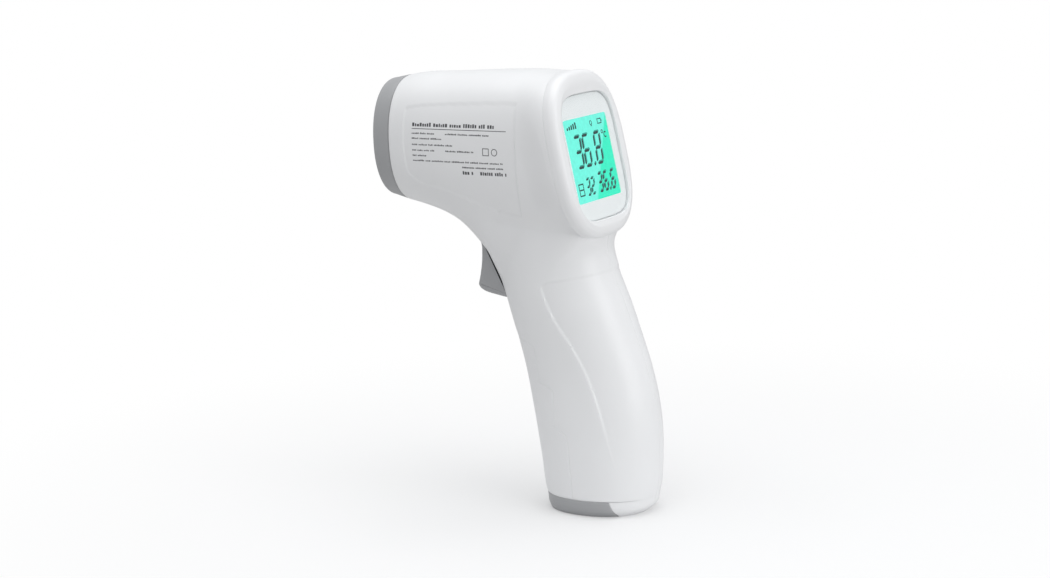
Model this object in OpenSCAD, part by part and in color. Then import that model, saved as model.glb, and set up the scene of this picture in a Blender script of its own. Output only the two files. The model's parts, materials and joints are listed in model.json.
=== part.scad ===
// Handheld infrared thermometer: pistol-shaped plastic body, rear display, trigger and battery door.
// Millimetres. +Z is up, the nose points along -X, the display faces +X.
// The origin is the centre of the handle's flat foot, in the plane where the two shells meet.

/* [Body] */
// Thickness of the moulded shell walls
wall = 2.0; // [1.8:0.1:2.2]
// Gap between neighbouring visible mouldings
seam_gap = 0.3; // [0.2:0.05:0.4]

/* [Nose] */
// Depth of the grey ring around the nose
ring_depth = 7.5; // [7:0.25:8]
// Radius of the mouth of the sensor funnel
funnel_mouth_r = 14.0; // [13:0.5:14.5]

/* [Display] */
// Lean of the display face away from upright
display_lean = 11.1; // [10:0.1:12]
// Visible width of the liquid-crystal picture
lcd_width = 30.9; // [29:0.1:31.5]
// Visible height of the liquid-crystal picture
lcd_height = 29.3; // [28:0.1:30]

/* [Trigger] */
// Width of the trigger between its two cheeks
trigger_width = 12.4; // [11:0.2:12.6]
// Radius of the trigger's pivot pin
trigger_pin_r = 1.25; // [1:0.05:1.4]

/* [Keys] */
// Radius of each round key on the right side
key_r = 3.6; // [3:0.1:3.8]
// How far a key stands proud of the shell
key_proud = 0.8; // [0.5:0.1:1]

/* [Batteries] */
// Radius of one AAA cell
cell_r = 5.2; // [5.1:0.05:5.25]
// Length of one AAA cell without its button
cell_length = 43.5; // [43:0.1:43.8]

/* [Hidden] */
$fn = 40;
SLIVER = 0.01;
GREY = [0.60, 0.61, 0.62];
WHITE = [0.93, 0.94, 0.95];

// Sections of the body from the nose to the foot. Each row is the x and z of the front or lower
// edge, the x and z of the top or rear edge, the half width, and how square the section is.
STATIONS = [
    [-71.5, 108.9, -71.5, 154.6, 16.0, 2.30],
    [-65.9, 107.7, -66.9, 155.4, 16.6, 2.30],
    [-49.7, 101.8, -48.9, 156.1, 17.8, 2.40],
    [-38.6, 91.0, -27.5, 156.8, 17.6, 2.50],
    [-36.4, 85.6, -8.0, 156.7, 17.0, 2.50],
    [-34.6, 81.0, 8.0, 151.0, 16.8, 2.50],
    [-33.2, 77.8, 11.0, 127.0, 16.8, 2.50],
    [-31.6, 73.4, 9.0, 103.0, 16.8, 2.45],
    [-30.8, 70.8, 6.4, 96.8, 16.8, 2.40],
    [-29.7, 66.3, 7.7, 88.4, 16.8, 2.30],
    [-29.1, 63.8, 13.0, 74.5, 16.5, 2.30],
    [-28.7, 62.0, 17.4, 62.0, 16.3, 2.25],
    [-26.3, 51.7, 20.8, 51.7, 16.2, 2.20],
    [-23.8, 38.0, 23.6, 38.0, 16.5, 2.20],
    [-20.9, 19.0, 24.1, 19.0, 16.6, 2.20],
    [-19.1, 6.3, 22.4, 6.3, 16.4, 2.20],
    [-19.0, 6.0, 22.3, 6.0, 16.4, 2.20],
    [-18.6, 2.4, 21.2, 2.4, 15.9, 2.20],
    [-18.0, 0.0, 18.3, 0.0, 14.1, 2.20]
];
// Rows of facets between one section and the next
SPANS = [1, 2, 4, 5, 6, 5, 4, 3, 4, 4, 3, 9, 10, 12, 8, 1, 2, 2];
DOOR_TOP = 11;
DOOR_FOOT = 15;
FOOT_TOP = 16;
LAST = 18;
ARC = 16;
DOOR_FIRST = 6;

// The head is a tube whose section grows from the nose to the display.
// Each table gives a value against the distance along the head.
HEAD_TOP = [[-71.5, 154.6], [-66.9, 155.4], [-48.9, 156.1], [-27.5, 156.8], [3, 156.8]];
HEAD_BOTTOM = [[-71.5, 108.9], [-65.9, 107.7], [-49.7, 103.6], [-27, 100.6], [3, 98.8]];
HEAD_HALF_WIDTH = [[-71.5, 16.9], [-60, 17.9], [-45, 19.4], [-27, 21.2], [-8, 22.6], [3, 23.3]];
HEAD_SQUARE = [[-71.5, 2.25], [-50, 2.35], [-25, 2.6], [3, 2.6]];

// Display face: a plane through this point, leaning by display_lean
FACE_X = 2.7;
FACE_Z = 127.8;
SHELL_EDGE_DEPTH = 4.5;
CHIN_HEIGHT = 31.1;
BEZEL_HALF_HEIGHT = 29.4;
BEZEL_HALF_WIDTH = 23.8;
BEZEL_SQUARE = 2.6;
WINDOW_HALF_HEIGHT = 21.4;
WINDOW_HALF_WIDTH = 18.0;
WINDOW_SQUARE = 5.5;
// How far down the face the window and the picture are centred
WINDOW_MIDDLE = 0.9;
PICTURE_MIDDLE = 1.5;
FACE_STEPS = 64;
// Screw posts of the main board: down the face, then across it
POST_SPOTS = [[-21.3, -9.5], [-21.3, 9.5], [22.2, -9.5], [22.2, 9.5]];

// Stepped seam of the battery door on the sides of the handle: height, then x
DOOR_SEAM = [
    [0, 13.0], [1, 12.9], [6.02, 11.2], [6.28, -2.6], [26.5, -3.7], [29.0, -4.3], [30.4, -6.2],
    [31.4, -9.4], [43.6, -9.2], [45.2, -9.9], [46.4, -12.6], [47.0, -16.0],
    [58.6, -16.4], [60.4, -17.4], [61.4, -20.5], [62.0, -24.5]
];

TRIGGER_PIVOT = [-33.0, 93.6];
// The switch stands behind the trigger, and its plunger meets the trigger's inner face
SWITCH_Z = 82.0;
DOOR_AXIS = [-28.9, 62.1];
SCREW_SPOTS = [[-60, 147], [-58, 113.5], [-23, 147.5], [-9, 86], [11.5, 50], [15, 15]];
SCREW_HEAD_Y = 4.2;
KEY_SPOTS = [[-46, 131], [-35.5, 131], [-25, 131]];
KEY_BOARD_Y = 12.2;
// Height of the sensor's axis
AXIS_Z = 131.7;
GRIP_LEAN = 9.8;
CELL_SPACING = 5.45;
CELL_FORWARD = 12.2;
CELL_FOOT = 9.6;

// ---------------------------------------------------------------- curves and sections

function signed_power(v, e) = sign(v) * pow(abs(v), e);

// A smooth curve through four neighbouring values, at fraction t between the middle two
function through(a, b, c, d, t) =
    0.5 * (2 * b + (c - a) * t + (2 * a - 5 * b + 4 * c - d) * t * t
    + (3 * b - 3 * c + d - a) * t * t * t);

// The body section at position u, a whole number being a row of STATIONS
function section(u) =
    let (i = min(floor(u), LAST - 1))
    let (t = u - i)
    let (before = STATIONS[max(i - 1, 0)])
    let (after = STATIONS[min(i + 2, LAST)])
    [for (k = [0:5]) through(before[k], STATIONS[i][k], STATIONS[i + 1][k], after[k], t)];

// Half width of the head tube at a point, less an inset
function head_half_width(x, z, inset) =
    let (share = max(0, min(1, (x + 71.5) / 74.2)))
    let (along = x + tan(display_lean) * share * (z - FACE_Z))
    let (top = lookup(along, HEAD_TOP) - inset)
    let (bottom = lookup(along, HEAD_BOTTOM) + inset)
    let (off = abs(z - (top + bottom) / 2) / ((top - bottom) / 2))
    let (square = lookup(along, HEAD_SQUARE))
    off >= 1 ? 0
    : (lookup(along, HEAD_HALF_WIDTH) - inset) * pow(1 - pow(off, square), 1 / square);

// The larger of two widths, with the corner between them rounded off
function blended(a, b) =
    let (big = max(a, b))
    let (reach = 0.3 * big)
    let (apart = abs(a - b))
    apart < reach ? big + pow(reach - apart, 2) / (4 * reach) : big;

// Point of a section: angle 0 is the top or rear edge, 180 the front edge
function skin_point(s, angle, inset) =
    let (half = [s[2] - s[0], s[3] - s[1]] / 2)
    let (shrunk = half * (1 - inset / norm(half)))
    let (reach = signed_power(cos(angle), 2 / s[5]))
    let (x = (s[0] + s[2]) / 2 + shrunk[0] * reach)
    let (z = (s[1] + s[3]) / 2 + shrunk[1] * reach)
    let (own = (s[4] - inset) * signed_power(sin(angle), 2 / s[5]))
    let (ends = angle < 0.01 || angle > 179.99)
    [x, ends ? 0 : blended(own, head_half_width(x, z, inset)), z];

// Angle at which a section passes a given share of its half length
function angle_at(share, square) =
    share >= 1 ? 0 : share <= -1 ? 180 : acos(signed_power(share, square / 2));

// How deep below the display face a point lies, and how high up the face
function face_depth(x, z) = cos(display_lean) * (x - FACE_X) + sin(display_lean) * (z - FACE_Z);
function face_height(x, z) = cos(display_lean) * (z - FACE_Z) - sin(display_lean) * (x - FACE_X);

// Angle at which a section starts, so that the shell stops behind the display bezel
function start_angle(s, inset) =
    let (half = [s[2] - s[0], s[3] - s[1]] / 2)
    let (shrunk = half * (1 - inset / norm(half)))
    let (middle = [s[0] + s[2], s[1] + s[3]] / 2)
    let (here = face_depth(middle[0], middle[1]) + SHELL_EDGE_DEPTH)
    let (rise = cos(display_lean) * shrunk[0] + sin(display_lean) * shrunk[1])
    let (share = rise > 0.01 ? -here / rise : 2)
    let (cross = middle + shrunk * share)
    share < 1 && face_height(cross[0], cross[1]) > -CHIN_HEIGHT
    ? angle_at(share, s[5]) : 0;

// Angle at which a level section meets the door seam, moved by a gap
function seam_angle(s, inset, gap) =
    let (half = (s[2] - s[0]) / 2 - inset)
    let (x = lookup(s[1], DOOR_SEAM) + gap)
    angle_at((x - (s[0] + s[2]) / 2) / half, s[5]);

// Positions of the rows between two sections
function rows(first, last) = [
    for (i = [first:last - 1])
    for (k = [0:SPANS[i] - 1])
    i + k / SPANS[i],
    last
];

// Angle of one step round a section, held between two ends
function held_angle(step, least, most) = min(most, max(least, 180 * step / ARC));

// One closed loop of a wall: out along the skin and back along the inside
function wall_loop(s, from_out, from_in, to_out, to_in, side) = concat(
    [
        for (j = [0:ARC])
        let (p = skin_point(s, held_angle(j, from_out, to_out), 0))
        [p[0], side * p[1], p[2]]
    ],
    [
        for (j = [ARC:-1:0])
        let (p = skin_point(s, held_angle(j, from_in, to_in), wall))
        [p[0], side * p[1], p[2]]
    ]
);

// Solid through a list of loops that each have the same number of points
module through_loops(loops, flip) {
    n = len(loops[0]);
    last = len(loops) - 1;
    points = [for (l = loops) for (p = l) p];
    sides = [
        for (i = [0:last - 1])
        for (j = [0:n - 1])
        let (a = i * n + j)
        let (b = i * n + (j + 1) % n)
        each [[a, b, b + n], [a, b + n, a + n]]
    ];
    half = n / 2;
    caps = [
        for (j = [0:half - 2])
        let (k = n - 1 - j)
        each [
            [j, k, k - 1], [j, k - 1, j + 1],
            [last * n + j, last * n + k - 1, last * n + k],
            [last * n + j, last * n + j + 1, last * n + k - 1]
        ]
    ];
    faces = concat(sides, caps);
    polyhedron(points, flip ? faces : [for (f = faces) [f[2], f[1], f[0]]], convexity = 8);
}

// Round bar through a list of points; up is a direction the path never takes
module bar_through(path, r, sides, up) {
    last = len(path) - 1;
    loops = [
        for (i = [0:last])
        let (run = path[min(i + 1, last)] - path[max(i - 1, 0)])
        let (across = cross(run, up) / norm(cross(run, up)))
        let (over = cross(across, run) / norm(cross(across, run)))
        [
            for (k = [0:sides - 1])
            let (a = 360 * k / sides)
            path[i] + r * (across * cos(a) + over * sin(a))
        ]
    ];
    through_loops(loops, false);
}

// Coil spring from the origin up +Z, with flat-lying end turns
module coil(r, wire_r, length, turns, r_top) {
    steps = turns * 14;
    path = [
        for (i = [0:steps])
        let (share = i / steps)
        let (lift = wire_r + (length - 2 * wire_r) * share)
        let (reach = r + (r_top - r) * share)
        [reach * cos(share * turns * 360), reach * sin(share * turns * 360), lift]
    ];
    bar_through(path, wire_r, 6, [0, 0, 1]);
}

// Rounded rectangle, centred
module rounded_rectangle(width, height, r) {
    hull() {
        for (x = [-1, 1]) {
            for (y = [-1, 1]) {
                translate([x * (width / 2 - r), y * (height / 2 - r)])
                    circle(r = r, $fn = 32);
            }
        }
    }
}

// Puts things on the display face: x runs down the face, z out of it
module on_display_face(depth) {
    translate([FACE_X, 0, FACE_Z])
        rotate([0, 90 - display_lean, 0])
            translate([0, 0, depth])
                children();
}

// Puts things on the handle's lean: z runs up the front of the handle, x into it
module in_grip() {
    translate([-18.2, 0, 0])
        rotate([0, -GRIP_LEAN, 0])
            children();
}

// ---------------------------------------------------------------- shell halves

// Moulded wall of one half; side is -1 for the left, 1 for the right
module shell_wall(side) {
    beside_door = [for (u = rows(DOOR_TOP, LAST)) if (u > DOOR_TOP) u];
    positions = concat(rows(0, DOOR_TOP), [DOOR_TOP + 0.004], beside_door);
    loops = [
        for (u = positions)
        let (s = section(u))
        let (open = u > DOOR_TOP + 0.001)
        wall_loop(
            s, start_angle(s, 0), start_angle(s, wall),
            open ? seam_angle(s, 0, seam_gap / 2) : 180,
            open ? seam_angle(s, wall, seam_gap / 2) : 180,
            side
        )
    ];
    through_loops(loops, side > 0);
}

// Level slice of the whole body, from row position first to last, inset from the skin
module body_slice(first, last, inset, side) {
    loops = [
        for (u = rows(first, last))
        let (s = section(u))
        concat(
            [
                for (j = [0:ARC])
                let (p = skin_point(s, 180 * j / ARC, inset))
                [p[0], side * p[1], p[2]]
            ],
            [
                for (j = [ARC - 1:-1:1])
                let (p = skin_point(s, 180 * j / ARC, inset))
                [p[0], -side * p[1], p[2]]
            ]
        )
    ];
    through_loops(loops, side > 0);
}

// Places children at each screw spot, with z along +Y
module at_screws() {
    for (spot = SCREW_SPOTS) {
        translate([spot[0], 0, spot[1]])
            rotate([-90, 0, 0])
                children();
    }
}

function boss_reach(i) = [13.0, 12.2, 16.0, 15.9, 11.9, 11.9][i];

// Posts that the shell screws run through
module screw_posts(side) {
    for (i = [0:len(SCREW_SPOTS) - 1]) {
        spot = SCREW_SPOTS[i];
        translate([spot[0], 0, spot[1]])
            rotate([side > 0 ? -90 : 90, 0, 0])
                cylinder(r = side > 0 ? 3.4 : 2.7, h = boss_reach(i));
    }
}

// Holes for the trigger to come through the front of both halves
module trigger_opening() {
    translate([-50, -trigger_width / 2 - 0.35, 74.1])
        cube([22.5, trigger_width + 0.7, 23.3]);
}

// Post that carries one end of the trigger pin, with its blind hole
module pin_post(side) {
    difference() {
        translate([TRIGGER_PIVOT[0], side * 6.9, TRIGGER_PIVOT[1]])
            rotate([side > 0 ? -90 : 90, 0, 0])
                cylinder(r = 2.2, h = 3.3);
        translate([TRIGGER_PIVOT[0], side * 6.8, TRIGGER_PIVOT[1]])
            rotate([side > 0 ? -90 : 90, 0, 0])
                cylinder(r = trigger_pin_r + 0.04, h = 2.7);
    }
}

// Floor of the white rear part of the foot, one half
module rear_floor(side) {
    translate([0.4, 0, 0.3]) linear_extrude(1.5) intersection() {
        scale([17.3, 13.2]) circle(r = 1, $fn = 48);
        translate([12.8, side > 0 ? 0 : -20]) square([10, 20]);
    }
}

module left_shell() {
    color(WHITE) {
        difference() {
            union() {
                shell_wall(-1);
                screw_posts(-1);
                rear_floor(-1);
            }
            at_screws() translate([0, 0, -10]) cylinder(r = 1.25, h = 11);
            trigger_opening();
        }
        pin_post(-1);
    }
}

module right_shell() {
    color(WHITE) {
        difference() {
            union() {
                shell_wall(1);
                screw_posts(1);
                rear_floor(1);
            }
            at_screws() translate([0, 0, -1]) cylinder(r = 1.35, h = 8);
            at_screws() translate([0, 0, SCREW_HEAD_Y]) cylinder(r = 2.35, h = 20);
            trigger_opening();
            for (spot = KEY_SPOTS) {
                translate([spot[0], 12, spot[1]])
                    rotate([-90, 0, 0])
                        cylinder(r = key_r + 0.25, h = 20);
            }
        }
        pin_post(1);
    }
}

// ---------------------------------------------------------------- nose

// One oval of the nose at a given x
function nose_oval(x, half_width, half_height, middle) = [
    for (k = [0:47])
    let (a = 360 * k / 48)
    [x, half_width * signed_power(cos(a), 2 / 2.2), middle + half_height * signed_power(sin(a), 2 / 2.2)]
];

module nose_ring() {
    front = -71.5 - seam_gap - ring_depth;
    back = -71.5 - seam_gap;
    color(GREY) difference() {
        through_loops([
            nose_oval(front, 16.0, 20.9, 132.0),
            nose_oval(front + 0.8, 16.6, 21.5, 132.0),
            nose_oval(back - 1, 17.3, 22.6, 131.8),
            nose_oval(back, 17.3, 22.7, 131.8)
        ], false);
        translate([front - 1, 0, AXIS_Z])
            rotate([0, 90, 0])
                cylinder(r = funnel_mouth_r + 1.35, h = ring_depth + 3, $fn = 64);
    }
}

// Builds a turned part on the sensor's axis: outline points are x and radius
module turned(outline) {
    translate([0, 0, AXIS_Z])
        rotate([0, 90, 0])
            rotate_extrude($fn = 64)
                polygon([for (p = outline) [p[1], p[0]]]);
}

module sensor_cone() {
    mouth = funnel_mouth_r;
    color([0.12, 0.12, 0.13]) turned([
        [-78.2, mouth], [-78.2, mouth + 1.2], [-72.5, mouth + 1.2], [-72.5, 12.6],
        [-62, 7.2], [-59, 7.2], [-59, 6.0], [-62.5, 6.0], [-74, mouth - 2.2]
    ]);
}

module reflector_cup() {
    color([0.80, 0.62, 0.24]) turned([
        [-63.5, 5.4], [-63.5, 5.9], [-57.2, 5.9], [-57.2, 3.0], [-58.2, 3.0], [-60.5, 3.9]
    ]);
}

module thermopile_can() {
    color([0.78, 0.79, 0.80]) turned([
        [-57.05, 1.4], [-57.05, 2.35], [-54.4, 2.35], [-54.4, 2.75], [-53.9, 2.75],
        [-53.9, 0.01], [-54.4, 0.01], [-54.4, 1.95], [-56.7, 1.95], [-56.7, 1.4]
    ]);
}

module thermopile_window() {
    color([0.22, 0.24, 0.30]) turned([[-56.6, 0.01], [-56.6, 1.85], [-56.2, 1.85], [-56.2, 0.01]]);
}

module sensor_block() {
    color([0.70, 0.71, 0.72]) difference() {
        turned([[-57.1, 2.9], [-57.1, 8.6], [-51.4, 8.6], [-51.4, 2.9]]);
        for (y = [-1, 1]) {
            translate([-54.5, y * 6, AXIS_Z]) rotate([0, 90, 0]) cylinder(r = 0.85, h = 4);
        }
    }
}

module sensor_board() {
    color([0.10, 0.32, 0.20]) difference() {
        turned([[-51.3, 0.01], [-51.3, 9.4], [-49.9, 9.4], [-49.9, 0.01]]);
        for (y = [-1, 1]) {
            translate([-52, y * 6, AXIS_Z]) rotate([0, 90, 0]) cylinder(r = 1.0, h = 4);
        }
    }
}

// Cross-recessed screw: the head's top is at z = head_h, the shank runs down -Z
module small_screw(shank_r, length, head_r, head_h) {
    difference() {
        union() {
            cylinder(r = head_r, h = head_h);
            translate([0, 0, -length]) cylinder(r = shank_r, h = length + SLIVER);
        }
        for (turn = [0, 90]) {
            rotate([0, 0, turn])
                translate([-head_r * 0.6, -head_r * 0.14, head_h * 0.45])
                    cube([head_r * 1.2, head_r * 0.28, head_h]);
        }
    }
}

module sensor_screws() {
    color([0.72, 0.73, 0.74]) for (y = [-1, 1]) {
        translate([-49.85, y * 6, AXIS_Z]) rotate([0, 90, 0]) small_screw(0.8, 4, 1.6, 0.9);
    }
}

// ---------------------------------------------------------------- display

// Superellipse point: x runs down the face, y across it
function oval_point(k, half_height, half_width, square, middle) =
    let (a = 360 * k / FACE_STEPS)
    [
        middle + half_height * signed_power(cos(a), 2 / square),
        half_width * signed_power(sin(a), 2 / square)
    ];

function bezel_point(k, grow, depth) =
    let (p = oval_point(k, BEZEL_HALF_HEIGHT + grow, BEZEL_HALF_WIDTH + grow, BEZEL_SQUARE, 0))
    [p[0], p[1], depth];

function window_point(k, grow) = oval_point(
    k, WINDOW_HALF_HEIGHT + grow, WINDOW_HALF_WIDTH + grow, WINDOW_SQUARE, WINDOW_MIDDLE
);

function picture_point(k, half_height, half_width) =
    oval_point(k, half_height, half_width, 12, PICTURE_MIDDLE);

// Flat ring on the display face between two outlines
module face_ring(outer, inner, thickness) {
    linear_extrude(thickness) difference() {
        polygon(outer);
        polygon(inner);
    }
}

// One cut through the bezel's rim, from its back edge over the front to the lip behind it
function bezel_profile(k) =
    let (window = window_point(k, 0.25))
    let (hole = window_point(k, -1))
    let (lip = oval_point(k, 26, 19.6, BEZEL_SQUARE, 0))
    [
        bezel_point(k, -0.6, -SHELL_EDGE_DEPTH + seam_gap),
        bezel_point(k, -0.15, -3.2),
        bezel_point(k, 0, -1.4),
        bezel_point(k, -0.7, 0.4),
        bezel_point(k, -2.4, 1.0),
        [window[0], window[1], 0.3],
        [window[0], window[1], -1.35],
        [hole[0], hole[1], -1.35],
        [hole[0], hole[1], -7],
        [lip[0], lip[1], -7],
        [lip[0], lip[1], -SHELL_EDGE_DEPTH + seam_gap]
    ];

// Closed ring swept through a list of cuts, the last joining the first
module ring_through(cuts) {
    n = len(cuts[0]);
    total = len(cuts);
    points = [for (c = cuts) for (p = c) p];
    faces = [
        for (i = [0:total - 1])
        for (j = [0:n - 1])
        let (a = i * n + j)
        let (b = i * n + (j + 1) % n)
        let (c = ((i + 1) % total) * n + (j + 1) % n)
        let (d = ((i + 1) % total) * n + j)
        each [[a, b, c], [a, c, d]]
    ];
    polyhedron(points, faces, convexity = 8);
}

module rear_bezel() {
    color(WHITE) on_display_face(0) {
        ring_through([for (k = [0:FACE_STEPS - 1]) bezel_profile(k)]);
        for (spot = POST_SPOTS) {
            translate([spot[0], spot[1], -11.9])
                difference() {
                    cylinder(r = 1.9, h = 6);
                    translate([0, 0, -1]) cylinder(r = 0.95, h = 5.5);
                }
        }
    }
}

module display_window() {
    color([0.90, 0.95, 0.96, 0.35]) on_display_face(-0.8)
        linear_extrude(1) polygon([for (k = [0:FACE_STEPS - 1]) window_point(k, 0)]);
}

module window_mask() {
    color([0.95, 0.96, 0.96]) on_display_face(-1.05)
        face_ring(
            [for (k = [0:FACE_STEPS - 1]) window_point(k, -0.1)],
            [for (k = [0:FACE_STEPS - 1]) picture_point(k, lcd_height / 2, lcd_width / 2)],
            0.2
        );
}

module window_gasket() {
    color([0.20, 0.20, 0.21]) on_display_face(-1.3)
        face_ring(
            [for (k = [0:FACE_STEPS - 1]) window_point(k, -0.2)],
            [for (k = [0:FACE_STEPS - 1]) window_point(k, -1.1)],
            0.2
        );
}

module lcd_glass() {
    color([0.60, 0.85, 0.80, 0.6]) on_display_face(-3)
        translate([PICTURE_MIDDLE, 0, 0]) linear_extrude(1.9) rounded_rectangle(33.6, 32.2, 2.4);
}

module backlight_plate() {
    color([0.30, 0.85, 0.78]) on_display_face(-6.9)
        linear_extrude(3.8) rounded_rectangle(32.6, 32.0, 3);
}

module lcd_frame() {
    color([0.88, 0.88, 0.86]) on_display_face(-11.8) difference() {
        translate([-1.8, 0, 0]) linear_extrude(4.7) rounded_rectangle(33.4, 35.6, 1);
        translate([-1.8, 0, 1.2]) linear_extrude(4) rounded_rectangle(30.6, 32.8, 0.6);
        translate([-1.8, 0, -1]) linear_extrude(4) rounded_rectangle(22, 22, 2);
    }
}

module zebra_strip() {
    color([0.24, 0.24, 0.26]) on_display_face(-11.95)
        translate([16.9, -14, 0]) cube([1.9, 28, 8.9]);
}

module main_board() {
    color([0.08, 0.30, 0.18]) on_display_face(-13.2) difference() {
        linear_extrude(1.2) polygon([
            [-24, -14], [-21.5, -16.5], [14.5, -16.5], [24.9, -11.6],
            [24.9, 11.6], [14.5, 16.5], [-21.5, 16.5], [-24, 14]
        ]);
        for (spot = POST_SPOTS) {
            translate([spot[0], spot[1], -1]) cylinder(r = 1.15, h = 4);
        }
    }
}

module board_chips() {
    color([0.13, 0.13, 0.14]) on_display_face(-13.25) {
        translate([-6, 0, -1.4]) linear_extrude(1.4) rounded_rectangle(10, 10, 0.3);
        translate([6, 8, -1.2]) linear_extrude(1.2) rounded_rectangle(5, 4, 0.2);
        translate([6, -7, -0.9]) linear_extrude(0.9) rounded_rectangle(3, 6, 0.2);
        translate([-15, 6, -1.6]) linear_extrude(1.6) rounded_rectangle(2, 5, 0.4);
    }
}

module buzzer() {
    color([0.10, 0.10, 0.11]) on_display_face(-13.25) difference() {
        translate([16, 0, -4.4]) cylinder(r = 5.2, h = 4.4);
        translate([16, 0, -5]) cylinder(r = 0.9, h = 3);
    }
}

module board_screws() {
    color([0.72, 0.73, 0.74]) on_display_face(-13.25) for (spot = POST_SPOTS) {
        translate([spot[0], spot[1], 0]) rotate([180, 0, 0]) small_screw(0.9, 5.2, 1.9, 1.1);
    }
}

// ---------------------------------------------------------------- keys

// Height of the shell's side above the parting plane at a key
function key_surface(i) = head_half_width(KEY_SPOTS[i][0], KEY_SPOTS[i][1], 0);

// Top of the silicone under the keys
KEYPAD_TOP = KEY_BOARD_Y + 1.2;

module key_cap(i) {
    surface = key_surface(i);
    translate([KEY_SPOTS[i][0], 0, KEY_SPOTS[i][1]])
        rotate([-90, 0, 0]) {
            translate([0, 0, KEYPAD_TOP + 1.15])
                cylinder(r = key_r, h = surface + key_proud - KEYPAD_TOP - 1.15);
            translate([0, 0, KEYPAD_TOP + 1.15]) cylinder(r = key_r + 0.9, h = 0.7);
        }
}

module key_mode() {
    color([0.62, 0.63, 0.64]) key_cap(0);
}

module key_up() {
    color([0.62, 0.63, 0.64]) key_cap(1);
}

module key_down() {
    color([0.62, 0.63, 0.64]) key_cap(2);
}

module keypad_membrane() {
    color([0.80, 0.80, 0.78]) translate([-51.5, KEY_BOARD_Y + 0.05, 125.6]) cube([32, 1.1, 10.8]);
}

module key_board() {
    color([0.08, 0.30, 0.18]) translate([-51.5, KEY_BOARD_Y - 1.2, 125]) cube([32, 1.15, 12]);
}

// ---------------------------------------------------------------- trigger

module trigger() {
    color(GREY) difference() {
        translate([0, trigger_width / 2, 0])
            rotate([90, 0, 0])
                linear_extrude(trigger_width)
                    union() {
                        polygon([
                            [-42.0, 96.0], [-41.8, 92.9], [-42.1, 87.7], [-42.8, 83.8], [-43.6, 80.4],
                            [-43.6, 79.2], [-42.9, 78.2], [-41.6, 77.3], [-40.0, 76.7], [-31.6, 75.2],
                            [-30.0, 75.6], [-29.6, 86.0], [-31.6, 93.0], [-32.5, 96.2], [-34.5, 97.0]
                        ]);
                        translate(TRIGGER_PIVOT) circle(r = 3.0);
                    }
        translate([TRIGGER_PIVOT[0], -20, TRIGGER_PIVOT[1]])
            rotate([-90, 0, 0])
                cylinder(r = trigger_pin_r + 0.05, h = 40);
        translate([-33.5, -trigger_width / 2 + 1.8, 72]) cube([8, trigger_width - 3.6, 16.5]);
    }
}

module trigger_pin() {
    color([0.72, 0.73, 0.74])
        translate([TRIGGER_PIVOT[0], -9.4, TRIGGER_PIVOT[1]])
            rotate([-90, 0, 0])
                cylinder(r = trigger_pin_r, h = 18.8);
}

module switch_plunger() {
    color([0.85, 0.20, 0.16]) translate([-33.35, 0, SWITCH_Z])
        rotate([0, 90, 0]) {
            cylinder(r = 1.1, h = 8.35);
        }
}

module trigger_switch() {
    color([0.14, 0.14, 0.15]) difference() {
        translate([-26.5, -5, SWITCH_Z - 4]) cube([7, 10, 8]);
        translate([-27, 0, SWITCH_Z]) rotate([0, 90, 0]) cylinder(r = 1.15, h = 4);
    }
}

module trigger_spring() {
    color([0.75, 0.76, 0.77]) translate([-33.4, 0, SWITCH_Z])
        rotate([0, 90, 0]) coil(2.2, 0.25, 6.8, 5, 2.2);
}

// ---------------------------------------------------------------- battery door

module battery_door() {
    loops = [
        for (u = rows(DOOR_TOP, DOOR_FOOT))
        // The top row is a little lower, which leaves the gap under the shell's edge
        let (s = section(max(u, DOOR_TOP + 0.05)))
        let (out = seam_angle(s, 0, -seam_gap / 2))
        let (inner = seam_angle(s, wall, -seam_gap / 2))
        concat(
            [
                for (j = [DOOR_FIRST:2 * ARC - DOOR_FIRST])
                let (a = held_angle(j > ARC ? 2 * ARC - j : j, out, 180))
                let (p = skin_point(s, a, 0))
                [p[0], j > ARC ? -p[1] : p[1], p[2]]
            ],
            [
                for (j = [2 * ARC - DOOR_FIRST:-1:DOOR_FIRST])
                let (a = held_angle(j > ARC ? 2 * ARC - j : j, inner, 180))
                let (p = skin_point(s, a, wall))
                [p[0], j > ARC ? -p[1] : p[1], p[2]]
            ]
        )
    ];
    color(WHITE) {
        through_loops(loops, true);
        hinge_tongues();
    }
}

// Curved tongues behind the shell's edge, centred on the line the door turns about
module hinge_tongues() {
    for (y = [-6.5, 3.5]) {
        translate([DOOR_AXIS[0], y + 3, DOOR_AXIS[1]])
            rotate([90, 0, 0])
                rotate([0, 0, -58])
                    rotate_extrude(angle = 86, $fn = 48)
                        translate([5.2, 0])
                            square([1.3, 3]);
    }
}

module door_foot() {
    color(GREY) difference() {
        body_slice(FOOT_TOP, LAST, 0, 1);
        foot_pocket();
        translate([0, 30, 0])
            rotate([90, 0, 0])
                linear_extrude(60)
                    polygon([[12.75, -1], [12.75, 1], [11.05, 6.1], [11.05, 9], [40, 9], [40, -1]]);
    }
}

// Room inside the foot, above its floor
module foot_pocket() {
    translate([1.2, 0, wall]) linear_extrude(20) scale([17.6, 13.6]) circle(r = 1, $fn = 48);
}

// ---------------------------------------------------------------- batteries

module battery_tray() {
    color([0.16, 0.16, 0.17]) in_grip() difference() {
        translate([CELL_FORWARD - 1.5, -11.4, CELL_FOOT - 3.4])
            cube([8.6, 22.8, cell_length + 9.2]);
        for (y = [-1, 1]) {
            translate([CELL_FORWARD, y * CELL_SPACING, CELL_FOOT - 2])
                cylinder(r = cell_r + 0.15, h = cell_length + 6.4);
            translate([CELL_FORWARD - 5, y * CELL_SPACING - 4.6, CELL_FOOT - 2])
                cube([5, 9.2, cell_length + 6.4]);
        }
        translate([CELL_FORWARD - 5, -9.2, CELL_FOOT - 2]) cube([8.6, 18.4, 0.4]);
    }
}

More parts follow.
